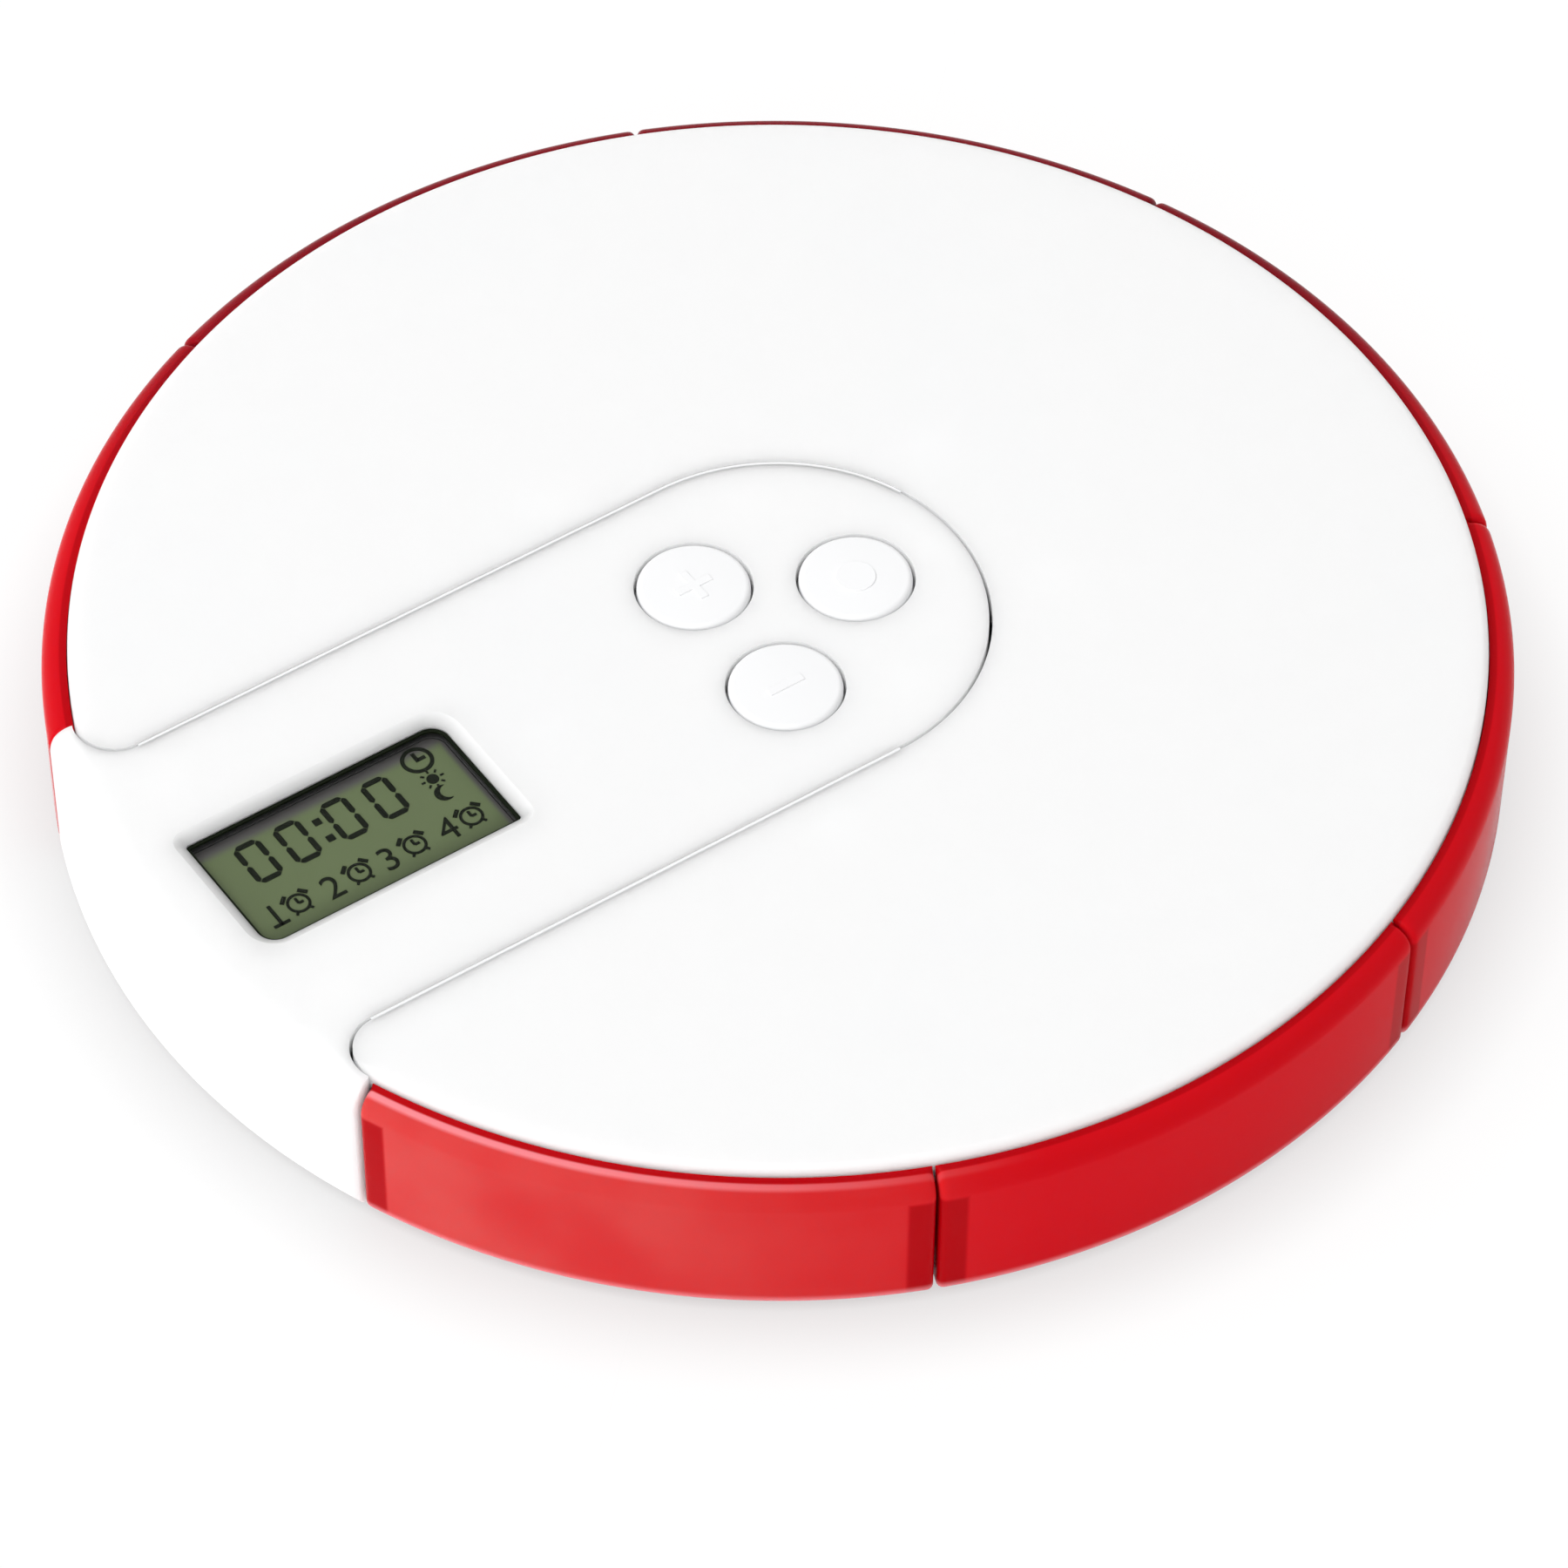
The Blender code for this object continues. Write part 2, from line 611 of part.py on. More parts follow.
def make_lid(material):
    """White disc with a rounded edge, the tongue's cut-out and four screw bosses."""
    edge = arc((LID_RADIUS - LID_EDGE_ROUND, CASE_HEIGHT - LID_EDGE_ROUND), LID_EDGE_ROUND,
               0.0, QUARTER_TURN, ROUND_STEPS)
    lid = turned("lid", [(0.0, UNDER_LID), (LID_RADIUS, UNDER_LID)] + edge + [(0.0, CASE_HEIGHT)],
                 steps=CIRCLE_STEPS)
    cut(lid, prism("cutout", cutout_outline(), UNDER_LID - OVERRUN, CASE_HEIGHT + OVERRUN))
    for place in lid_screw_places():
        add_case_boss(lid, place)
    finish(lid, material)


def add_case_boss(plate, place):
    """Boss with a pilot hole that hangs from a plate down to its sleeve on the base."""
    low = SLEEVE_TOP + GAP
    join(plate, prism("boss", circle(place, CASE_BOSS_RADIUS), low, UNDER_LID + EMBED))
    hole_top = CASE_HEAD_TOP + CASE_SHANK_LENGTH + GAP
    cut(plate, prism("pilot", circle(place, CASE_SHANK_RADIUS + GAP), low - OVERRUN, hole_top))


def make_panel(material):
    """Tongue, slice and outer wall in one moulding, with the window and the button holes."""
    panel = prism("control_panel", panel_outline(), BASE_LIFT - OVERRUN, CASE_HEIGHT + OVERRUN)
    keep_inside(panel, turned("rim", rim_profile(CASE_HEIGHT, PANEL_EDGE_ROUND), steps=CIRCLE_STEPS))
    cut(panel, prism("room", circle((0.0, 0.0), FRONT_INNER_RADIUS + GAP, CIRCLE_STEPS),
                     BASE_LIFT - OVERRUN, UNDER_LID))
    centre = (WINDOW_PLACE, 0.0)
    cut(panel, window_shape())
    rebate = rounded_box(centre, WINDOW_LENGTH + 2.0 * (PANE_MARGIN + GAP),
                         WINDOW_WIDTH + 2.0 * (PANE_MARGIN + GAP), [PANE_ROUND] * 4)
    cut(panel, prism("rebate", rebate, UNDER_LID - OVERRUN, CASE_HEIGHT - WINDOW_LEDGE))
    for place in button_places():
        hole = circle(place, BUTTON_HOLE_RADIUS, BUTTON_STEPS)
        cut(panel, prism("hole", hole, UNDER_LID - OVERRUN, CASE_HEIGHT + OVERRUN))
    for place in panel_screw_places():
        add_case_boss(panel, place)
    for place in board_screw_places():
        join(panel, prism("post", circle(place, BOARD_POST_RADIUS), PART_SEAT, UNDER_LID + EMBED))
        hole_top = BOARD_HEAD_TOP + BOARD_SHANK_LENGTH + GAP
        hole = circle(place, BOARD_SHANK_RADIUS + GAP)
        cut(panel, prism("pilot", hole, PART_SEAT - OVERRUN, hole_top))
    finish(panel, material)


def window_outline(margin):
    """The window with two round corners and two tight ones, across from each other."""
    rounds = [WINDOW_ROUND, WINDOW_TIGHT_ROUND, WINDOW_ROUND, WINDOW_TIGHT_ROUND]
    length = WINDOW_LENGTH + 2.0 * margin
    width = WINDOW_WIDTH + 2.0 * margin
    return rounded_box((WINDOW_PLACE, 0.0), length, width, [radius + margin for radius in rounds])


def window_shape():
    """What the window takes out of the panel: straight below, and sloping outwards to the top."""
    outline = window_outline(0.0)
    wide = window_outline(WINDOW_BEVEL * (WINDOW_BEVEL_DEPTH + OVERRUN) / WINDOW_BEVEL_DEPTH)
    levels = [(outline, UNDER_LID - OVERRUN), (outline, CASE_HEIGHT - WINDOW_BEVEL_DEPTH)]
    return stacked("window", levels + [(wide, CASE_HEIGHT + OVERRUN)])


def make_base(material):
    """Floor, dividers, hub wall, sleeves, guides and the battery well."""
    base = prism("base_plate", circle((0.0, 0.0), BASE_RADIUS, CIRCLE_STEPS), BASE_LIFT, FLOOR_TOP)
    add_hub(base)
    for place in lid_screw_places() + panel_screw_places():
        add_sleeve(base, place)
    add_battery_well(base)
    for angle in DRAWER_ANGLES:
        half = GUIDE_WIDTH / 2.0
        guide = turn_outline(box_outline((GUIDE_START, -half), (GUIDE_END, half)), angle)
        join(base, prism("guide", guide, FLOOR_TOP - EMBED, TRAY_BOTTOM + GUIDE_HEIGHT))
    for place in foot_places():
        recess = circle(place, FOOT_RADIUS + GAP, BUTTON_STEPS)
        cut(base, prism("recess", recess, BASE_LIFT - OVERRUN, BASE_LIFT + FOOT_RECESS))
    for place in sound_hole_places():
        hole = circle(place, SOUND_HOLE_RADIUS, SMALL_STEPS // 2)
        cut(base, prism("sound_hole", hole, BASE_LIFT - OVERRUN, FLOOR_TOP + OVERRUN))
    finish(base, material)


def add_hub(base):
    """Round wall between the drawers and the electronics, open to the control slice, and dividers."""
    top = UNDER_LID - GAP
    hub = prism("hub", circle((0.0, 0.0), HUB_RADIUS, CIRCLE_STEPS // 2), FLOOR_TOP - EMBED, top - HUB_DROP)
    cut(hub, prism("bore", circle((0.0, 0.0), HUB_ROOM, CIRCLE_STEPS // 2), BASE_LIFT, CASE_HEIGHT))
    neck = box_outline((-CASE_RADIUS, -HALF_NECK), (0.0, HALF_NECK))
    cut(hub, prism("neck", neck, BASE_LIFT, CASE_HEIGHT))
    join(base, hub)
    half = DIVIDER / 2.0
    for angle in DIVIDER_ANGLES:
        bar = turn_outline(box_outline((HUB_ROOM + EMBED, -half), (BASE_RADIUS - GAP, half)), angle)
        join(base, prism("divider", bar, FLOOR_TOP - EMBED, top))


def add_battery_well(base):
    """Round well over the door: wide where its lugs turn, close to the cell above them."""
    door_hole = circle(CELL_PLACE, DOOR_RADIUS + RUN_GAP, BUTTON_STEPS)
    cut(base, prism("door_hole", door_hole, BASE_LIFT - OVERRUN, FLOOR_TOP + OVERRUN))
    for side in (0.0, HALF_TURN):
        notch = lug_outline(LUG_RADIUS + GAP / 2.0, side - DOOR_TURN, DOOR_NOTCH_ANGLE)
        cut(base, prism("notch", notch, BASE_LIFT - OVERRUN, FLOOR_TOP + OVERRUN))
    wide = WELL_RADIUS - WELL_WALL
    close = CELL_RADIUS + WELL_GAP
    low, step, high = FLOOR_TOP - EMBED, LUG_TOP + GAP, FLOOR_TOP + WELL_HEIGHT
    outside = [(wide, low), (WELL_RADIUS, low), (WELL_RADIUS, high)]
    profile = outside + [(close, high), (close, step), (wide, step)]
    well = turned("well", profile, CELL_PLACE, BUTTON_STEPS, closed=True)
    slot_half = CONTACT_WIDTH / 2.0 + GAP
    near = CELL_PLACE[1] - CELL_RADIUS
    low_corner = (CELL_PLACE[0] - slot_half, near - 2.0 * GAP - CONTACT_SHEET)
    high_corner = (CELL_PLACE[0] + slot_half, near + CELL_RADIUS / 2.0)
    cut(well, prism("contact_slot", box_outline(low_corner, high_corner), FLOOR_TOP, high + OVERRUN))
    join(base, well)


def lug_outline(radius, middle, spread):
    """A slice of the door's rim from above."""
    inner = arc(CELL_PLACE, DOOR_RADIUS - DOOR_RING_WALL / 2.0, middle + spread / 2.0,
                middle - spread / 2.0, CORNER_STEPS)
    return arc(CELL_PLACE, radius, middle - spread / 2.0, middle + spread / 2.0, CORNER_STEPS) + inner


def add_sleeve(base, place):
    """Sleeve that a screw passes through, with a seat for its head and room for the boss above."""
    join(base, prism("sleeve", circle(place, SLEEVE_RADIUS), FLOOR_TOP - EMBED, SLEEVE_TOP))
    seat = circle(place, CASE_HEAD_RADIUS + GAP)
    cut(base, prism("seat", seat, BASE_LIFT - OVERRUN, SEAT_TOP))
    cut(base, prism("hole", circle(place, CASE_SHANK_RADIUS + GAP), BASE_LIFT, SLEEVE_TOP + OVERRUN))
    room = circle(place, CASE_BOSS_RADIUS + GAP)
    cut(base, prism("room", room, SLEEVE_TOP, CASE_HEIGHT))


def foot_places():
    """Four feet, a quarter turn apart."""
    return [polar(FOOT_REACH, SLICE * share) for share in (1, 3, 5, 7)]


def sound_hole_places():
    """One hole under the buzzer's mouth and a ring of holes round it."""
    ring = [polar(SOUND_HOLE_PITCH, FULL_TURN * i / SOUND_HOLES) for i in range(SOUND_HOLES)]
    return [(BUZZER_PLACE[0] + x, BUZZER_PLACE[1] + y) for x, y in [(0.0, 0.0)] + ring]


def make_feet(material):
    """Four round rubber pads let into the floor."""
    for number, place in enumerate(foot_places(), start=1):
        foot = prism(f"rubber_foot_{number}", circle(place, FOOT_RADIUS, BUTTON_STEPS), 0.0, FOOT_THICKNESS)
        finish(foot, material)


def make_buttons(cap_material, body_material, stem_material):
    """Each cap with its mark, over a push switch with its stem."""
    for name, place in zip(("plus", "minus", "set"), button_places()):
        cap = button_cap(name + "_button", place, mark_shapes(name, place))
        set_origin(finish(cap, cap_material), place)
        half = SWITCH_WIDTH / 2.0
        low, high = (place[0] - half, place[1] - half), (place[0] + half, place[1] + half)
        switch = prism(name + "_switch", box_outline(low, high), PART_SEAT, SWITCH_TOP)
        well = circle(place, STEM_RADIUS + RUN_GAP)
        well_floor = STEM_BOTTOM - BUTTON_TRAVEL - GAP
        cut(switch, prism("stem_well", well, well_floor, SWITCH_TOP + OVERRUN))
        finish(switch, body_material)
        stem = prism(name + "_stem", circle(place, STEM_RADIUS), STEM_BOTTOM, STEM_TOP)
        set_origin(finish(stem, stem_material), place)


def button_cap(name, place, marks):
    """Round cap with a hollow underside, a pin for the switch and a flange that holds it in."""
    top = CASE_HEIGHT + BUTTON_PROUD
    ceiling = BUTTON_BOTTOM + BUTTON_HOLLOW_DEPTH
    flange = BUTTON_RADIUS + BUTTON_FLANGE
    profile = [(0.0, BUTTON_BOTTOM), (BUTTON_PIN_RADIUS, BUTTON_BOTTOM), (BUTTON_PIN_RADIUS, ceiling),
               (BUTTON_HOLLOW_RADIUS, ceiling), (BUTTON_HOLLOW_RADIUS, BUTTON_BOTTOM),
               (flange, BUTTON_BOTTOM), (flange, BUTTON_BOTTOM + BUTTON_FLANGE_THICKNESS),
               (BUTTON_RADIUS, BUTTON_BOTTOM + BUTTON_FLANGE_THICKNESS)]
    profile += arc((BUTTON_RADIUS - BUTTON_ROUND, top - BUTTON_ROUND), BUTTON_ROUND,
                   0.0, QUARTER_TURN, ROUND_STEPS)
    profile.append((0.0, top))
    cap = turned(name, profile, place, BUTTON_STEPS)
    for outline in marks:
        join(cap, prism("mark", outline, top - EMBED, top + MARK_HEIGHT))
    return cap


def mark_shapes(name, place):
    """Raised mark on a cap: a plus, a minus or a round spot."""
    half_length, half_width = MARK_LENGTH / 2.0, MARK_WIDTH / 2.0
    x, y = place
    across = box_outline((x - half_length, y - half_width), (x + half_length, y + half_width))
    if name == "plus":
        upright = box_outline((x - half_width, y - half_length), (x + half_width, y + half_length))
        return [across, upright]
    if name == "minus":
        return [across]
    return [circle(place, half_length)]


def make_display(pane_material, bezel_material, glass_material, frame_material, strip_material):
    """Pane, dark bezel, display glass, the frame under it and its contact strip."""
    centre = (WINDOW_PLACE, 0.0)
    length, width = WINDOW_LENGTH + 2.0 * PANE_MARGIN, WINDOW_WIDTH + 2.0 * PANE_MARGIN
    pane_outline = rounded_box(centre, length, width, [PANE_ROUND] * 4)
    finish(prism("display_window", pane_outline, PANE_BOTTOM, PANE_TOP), pane_material)
    bezel = prism("display_bezel", pane_outline, BEZEL_BOTTOM, BEZEL_TOP)
    cut(bezel, prism("hole", window_outline(-BEZEL_REVEAL), BEZEL_BOTTOM - OVERRUN, BEZEL_TOP + OVERRUN))
    finish(bezel, bezel_material)
    middle = GLASS_BOTTOM + GLASS_SHEET
    lower_outline = box_round(centre, GLASS_LENGTH, LOWER_GLASS_WIDTH)
    glass = prism("display_glass", lower_outline, GLASS_BOTTOM, middle)
    upper_outline = box_round(centre, GLASS_LENGTH - GAP, GLASS_WIDTH)
    join(glass, prism("upper", upper_outline, middle - EMBED, GLASS_TOP))
    finish(glass, glass_material)
    frame = prism("display_frame", box_round(centre, FRAME_LENGTH, FRAME_WIDTH), PART_SEAT, UNDER_LID - GAP)
    opening = box_round(centre, GLASS_LENGTH - 2.0 * FRAME_LEDGE, LOWER_GLASS_WIDTH - 2.0 * FRAME_LEDGE)
    cut(frame, prism("opening", opening, PART_SEAT - OVERRUN, CASE_HEIGHT))
    glass_room = box_round(centre, GLASS_LENGTH + 2.0 * GAP, LOWER_GLASS_WIDTH + 2.0 * GAP)
    cut(frame, prism("glass_room", glass_room, GLASS_BOTTOM - GAP, CASE_HEIGHT))
    finish(frame, frame_material)
    strip_low = GAP + FRAME_LEDGE - LOWER_GLASS_WIDTH / 2.0
    corners = ((WINDOW_PLACE - WINDOW_LENGTH / 2.0, strip_low),
               (WINDOW_PLACE + WINDOW_LENGTH / 2.0, strip_low + STRIP_WIDTH))
    strip = prism("contact_strip", box_outline(*corners), PART_SEAT, GLASS_BOTTOM - GAP)
    finish(strip, strip_material)


def box_round(centre, length, width):
    """A rectangle from above with corners as tight as the window's tight ones."""
    return rounded_box(centre, length, width, [WINDOW_TIGHT_ROUND] * 4)


def make_board(material):
    """Circuit board: round at the hub, a neck, and a wide end under the display."""
    neck = HALF_BOARD_NECK
    wide = FRAME_WIDTH / 2.0
    meet = HALF_TURN - math.asin(neck / BOARD_HUB_RADIUS)
    outline = arc((0.0, 0.0), BOARD_HUB_RADIUS, -meet, meet, CIRCLE_STEPS // 4)
    outline += [(BOARD_END_START, neck), (BOARD_END_START, wide), (BOARD_END, wide),
                (BOARD_END, -wide), (BOARD_END_START, -wide), (BOARD_END_START, -neck)]
    board = prism("circuit_board", outline, BOARD_PLACE, BOARD_TOP)
    notch = circle(NOSE_SCREW_PLACE, CASE_BOSS_RADIUS + 2.0 * GAP)
    cut(board, prism("notch", notch, BOARD_PLACE - OVERRUN, BOARD_TOP + OVERRUN))
    for place in board_screw_places():
        hole = circle(place, BOARD_SHANK_RADIUS + GAP)
        cut(board, prism("hole", hole, BOARD_PLACE - OVERRUN, BOARD_TOP + OVERRUN))
    finish(board, material)


def make_board_parts(black, metal):
    """The controller under its drop of resin, the clock crystal and the buzzer."""
    dome = [(0.0, PART_SEAT)]
    dome += [(CHIP_RADIUS * math.cos(angle), PART_SEAT + CHIP_HEIGHT * math.sin(angle))
             for angle in (QUARTER_TURN * i / ROUND_STEPS for i in range(ROUND_STEPS))]
    dome.append((0.0, PART_SEAT + CHIP_HEIGHT))
    finish(turned("controller_chip", dome, CHIP_PLACE), black)
    start = CRYSTAL_PLACE[0] - CRYSTAL_LENGTH / 2.0
    crystal = prism("clock_crystal", circle((0.0, 0.0), CRYSTAL_RADIUS), start, start + CRYSTAL_LENGTH)
    middle = PART_SEAT + CRYSTAL_RADIUS
    lay_down = Matrix(((0, 0, 1, 0), (1, 0, 0, CRYSTAL_PLACE[1]), (0, 1, 0, middle), (0, 0, 0, 1)))
    crystal.data.transform(lay_down)
    finish(crystal, metal)
    top = BOARD_HEAD_TOP
    low = top - BUZZER_HEIGHT
    buzzer = prism("buzzer", circle(BUZZER_PLACE, BUZZER_RADIUS, BUTTON_STEPS), low, top)
    mouth = circle(BUZZER_PLACE, BUZZER_MOUTH_RADIUS)
    cut(buzzer, prism("mouth", mouth, low - OVERRUN, low + BUZZER_MOUTH_DEPTH))
    finish(buzzer, black)


def make_supply(cell_material, contact_material):
    """Coin cell with its two contacts."""
    cap = CELL_RADIUS - CELL_CAP_INSET
    profile = [(0.0, CELL_BOTTOM), (CELL_RADIUS, CELL_BOTTOM), (CELL_RADIUS, CELL_TOP - CELL_CAP_HEIGHT),
               (cap, CELL_TOP - CELL_CAP_HEIGHT), (cap, CELL_TOP), (0.0, CELL_TOP)]
    finish(turned("coin_cell", profile, CELL_PLACE, BUTTON_STEPS), cell_material)
    x, y = CELL_PLACE
    half = CONTACT_WIDTH / 2.0
    top = BOARD_PLACE - GAP
    low = CELL_TOP + GAP
    sheet = CONTACT_SHEET
    leaf = [(x, low), (x + CONTACT_FOOT, low), (x + CONTACT_REACH, top - sheet),
            (x + CONTACT_REACH + CONTACT_FOOT, top - sheet), (x + CONTACT_REACH + CONTACT_FOOT, top),
            (x + CONTACT_REACH - sheet, top), (x + CONTACT_FOOT - sheet, low + sheet), (x, low + sheet)]
    finish(side_prism("negative_contact", leaf, y - half, y + half), contact_material)
    face = y - CELL_RADIUS - GAP
    blade = box_outline((x - half, face - sheet), (x + half, face))
    finish(prism("positive_contact", blade, LUG_TOP + GAP, top), contact_material)


def make_battery_door(material):
    """Round door with a coin slot, a ring round the cell and two lugs that turn over the floor."""
    door = prism("battery_door", circle(CELL_PLACE, DOOR_RADIUS, BUTTON_STEPS), BASE_LIFT, FLOOR_TOP)
    ring_top = FLOOR_TOP + DOOR_RING_HEIGHT
    ring = circle(CELL_PLACE, DOOR_RADIUS - EMBED / 2.0, BUTTON_STEPS)
    join(door, prism("ring", ring, FLOOR_TOP - EMBED, ring_top))
    room = circle(CELL_PLACE, DOOR_RADIUS - DOOR_RING_WALL, BUTTON_STEPS)
    cut(door, prism("cell_room", room, FLOOR_TOP, ring_top + OVERRUN))
    for side in (0.0, HALF_TURN):
        join(door, prism("lug", lug_outline(LUG_RADIUS, side, DOOR_LUG_ANGLE), LUG_BOTTOM, LUG_TOP))
    half_length, half_width = DOOR_SLOT_LENGTH / 2.0, DOOR_SLOT_WIDTH / 2.0
    x, y = CELL_PLACE
    slot = box_outline((x - half_length, y - half_width), (x + half_length, y + half_width))
    cut(door, prism("slot", slot, BASE_LIFT - OVERRUN, BASE_LIFT + DOOR_SLOT_DEPTH))
    set_origin(finish(door, material), CELL_PLACE)


def screw(name, place, head_top, head, shank):
    """Screw driven from below: head and shank are each a radius and a length."""
    tip = shank[0] / 2.0
    profile = [(0.0, head_top - head[1]), (head[0], head_top - head[1]), (head[0], head_top),
               (shank[0], head_top), (shank[0], head_top + shank[1] - tip), (tip, head_top + shank[1]),
               (0.0, head_top + shank[1])]
    return turned(name, profile, place, SMALL_STEPS)


def make_screws(material):
    """Seven case screws and three that hold the board."""
    case_head = (CASE_HEAD_RADIUS, CASE_HEAD_HEIGHT)
    case_shank = (CASE_SHANK_RADIUS, CASE_SHANK_LENGTH)
    for number, place in enumerate(lid_screw_places(), start=1):
        finish(screw(f"lid_screw_{number}", place, CASE_HEAD_TOP, case_head, case_shank), material)
    for number, place in enumerate(panel_screw_places(), start=1):
        finish(screw(f"panel_screw_{number}", place, CASE_HEAD_TOP, case_head, case_shank), material)
    board_head = (BOARD_HEAD_RADIUS, BOARD_HEAD_HEIGHT)
    board_shank = (BOARD_SHANK_RADIUS, BOARD_SHANK_LENGTH)
    for number, place in enumerate(board_screw_places(), start=1):
        finish(screw(f"board_screw_{number}", place, BOARD_HEAD_TOP, board_head, board_shank), material)


def clear_scene():
    for thing in list(bpy.data.objects):
        bpy.data.objects.remove(thing)


def main():
    clear_scene()
    white = white_plastic()
    black = black_plastic()
    metal = steel()
    make_drawers(red_plastic())
    make_lid(white)
    make_panel(white)
    make_base(white)
    make_feet(black_rubber())
    make_buttons(white, black, black)
    make_display(clear_plastic(), black, display_glass_material(), white, black_rubber())
    make_board(board_green())
    make_board_parts(black, metal)
    make_supply(metal, metal)
    make_battery_door(white)
    make_screws(metal)


main()
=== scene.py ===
"""Looks of a round seven-day pill box with an alarm clock, modelled round its solids.

The white lid and the white panel with its display and three buttons lie over seven drawers of clear
red plastic, each shaped like a slice. Lengths are in metres and +Z is up, in the frame of the solids:
the display reads upright from -Y and its slice is on the -X side.
"""

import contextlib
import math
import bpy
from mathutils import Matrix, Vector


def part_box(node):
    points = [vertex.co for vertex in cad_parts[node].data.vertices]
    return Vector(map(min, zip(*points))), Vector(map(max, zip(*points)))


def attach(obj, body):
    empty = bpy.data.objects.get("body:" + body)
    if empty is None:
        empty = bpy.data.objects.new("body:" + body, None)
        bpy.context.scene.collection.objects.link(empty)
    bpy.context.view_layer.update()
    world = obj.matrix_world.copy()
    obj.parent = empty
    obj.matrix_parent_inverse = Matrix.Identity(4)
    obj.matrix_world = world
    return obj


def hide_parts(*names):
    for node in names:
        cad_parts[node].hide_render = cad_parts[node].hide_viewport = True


bl_info = {
    "name": "Round pill box looks",
    "version": (1, 0, 0),
    "blender": (4, 5, 0),
    "location": "3D Viewport > Sidebar > Pill Box",
    "description": "Models and finishes the pieces of a round pill box with an alarm clock",
    "category": "Object",
}

import bmesh
import bpy
from bpy.props import FloatProperty, FloatVectorProperty, PointerProperty
from mathutils import Matrix, Vector

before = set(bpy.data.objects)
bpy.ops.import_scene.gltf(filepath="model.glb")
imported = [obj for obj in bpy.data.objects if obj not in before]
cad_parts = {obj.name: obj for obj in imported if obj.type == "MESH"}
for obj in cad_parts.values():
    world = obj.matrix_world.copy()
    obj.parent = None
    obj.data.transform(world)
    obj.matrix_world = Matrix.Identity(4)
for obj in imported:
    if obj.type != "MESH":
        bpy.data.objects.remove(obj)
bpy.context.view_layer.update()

# Turns
QUARTER_TURN = math.pi / 2.0
HALF_TURN = math.pi
FULL_TURN = 2.0 * math.pi

# Slices: drawer 1 is beside the control slice, and the others follow counter-clockwise
SLICES = 8
DRAWERS = range(1, SLICES)
MIDDLE_DRAWER = SLICES // 2
SLICE = FULL_TURN / SLICES
HALF_SLICE = SLICE / 2.0

# Corners of a rectangle, and smoothness of round shapes in steps
CORNERS = 4
RIM_STEPS = 384
SLICE_STEPS = RIM_STEPS // SLICES
NOSE_STEPS = 96
HOLE_STEPS = 96
SMALL_STEPS = 48
CORNER_STEPS = 12
ROUND_STEPS = 8
EDGE_STEPS = 3
FINE_STEPS = 2
EDGE_ANGLE = math.radians(32.0)
SMOOTH_ANGLE = math.radians(30.0)

# Modelling: room that a cutter has past what it cuts, overlap of what is joined, size of a first point,
# distances within which points are welded, and how full a round is
OVERRUN = 0.0020
EMBED = 0.0004
POINT_SIZE = 0.001
WELD = 0.0000005
NEAR = 0.000002
ROUND_SHARE = 0.5
MIDDLE = (0.0, 0.0)
UPRIGHT = (0.0, 0.0, 1.0)

# Gaps between pieces, as in the solids
GAP = 0.0003
DIVIDER = 0.0010
TRAY_SIDE_GAP = DIVIDER / 2.0 + GAP

# Sizes and places of the solids
LID_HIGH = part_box("lid")[1]
DRAWER_LOW, DRAWER_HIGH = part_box(f"drawer_{MIDDLE_DRAWER}")
PANEL_LOW, PANEL_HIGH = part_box("control_panel")
PANE_LOW, PANE_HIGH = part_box("display_window")
GLASS_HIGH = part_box("display_glass")[1]
BASE_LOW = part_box("base_plate")[0]
CASE_RADIUS = DRAWER_HIGH.x
CASE_TOP = LID_HIGH.z
LID_RADIUS = LID_HIGH.y
HALF_TONGUE = PANEL_HIGH.x
PANE_ACROSS = PANE_HIGH.x - PANE_LOW.x
PANE_ALONG = PANE_HIGH.y - PANE_LOW.y

# Window: its place, and how far it lies and reaches beyond that of the solids
WINDOW_PLACE = (PANE_LOW.x + PANE_HIGH.x) / 2.0
WINDOW_RISE = 0.00025
WINDOW_WIDER = 0.00013

# Studio floor, the tone of its painted shade round the box, and plain white
FLOOR_SIZE = 12.0
FLOOR_DROP = 0.00001
SHADE_TONE = (0.62, 0.61, 0.61)
PLAIN_WHITE = (1.0, 1.0, 1.0)

# Drawers: floor of the case under them, wall at their inner end, groove for the guide, and the angle
# within which an edge counts as lying at a front's end
FLOOR_THICKNESS = 0.0016
TRAY_END = 0.0015
GROOVE_WIDTH = 0.0036
GROOVE_DEPTH = 0.0009
GROOVE_END = 0.0621
END_NEAR = 0.0001

# Bosses that the case screws hold
BOSS_RADIUS = 0.0022
BOSS_LOW = 0.0053
PILOT_RADIUS = 0.0013
PILOT_TOP = 0.0099

# Ledge in the groove beside the tongue, which stops short of the right end of its nose
LEDGE_DEPTH = 0.0001
LEDGE_THICKNESS = 0.0010
LEDGE_GAP = 0.00002
LEDGE_START = math.radians(20.0)

# Buttons, and the posts that hold the board
BUTTONS = ("plus", "minus", "set")
POST_RADIUS = 0.0018
POST_LOW = 0.0089
POST_PILOT = 0.0010
POST_PILOT_TOP = 0.0118

# Button caps
MARK_HEIGHT = 0.0001
MARK_EDGE = 0.00005
PIN_RADIUS = 0.0015
CAP_HOLLOW = 0.0039
CAP_HOLLOW_DEPTH = 0.0020
FLANGE_THICKNESS = 0.0009

# Display: fine edges, layers that don't touch, and the raised face under the pane
PANE_EDGE = 0.00005
LAYER = 0.00002
FACE_TOP = 0.0145
FACE_MARGIN = 0.00036

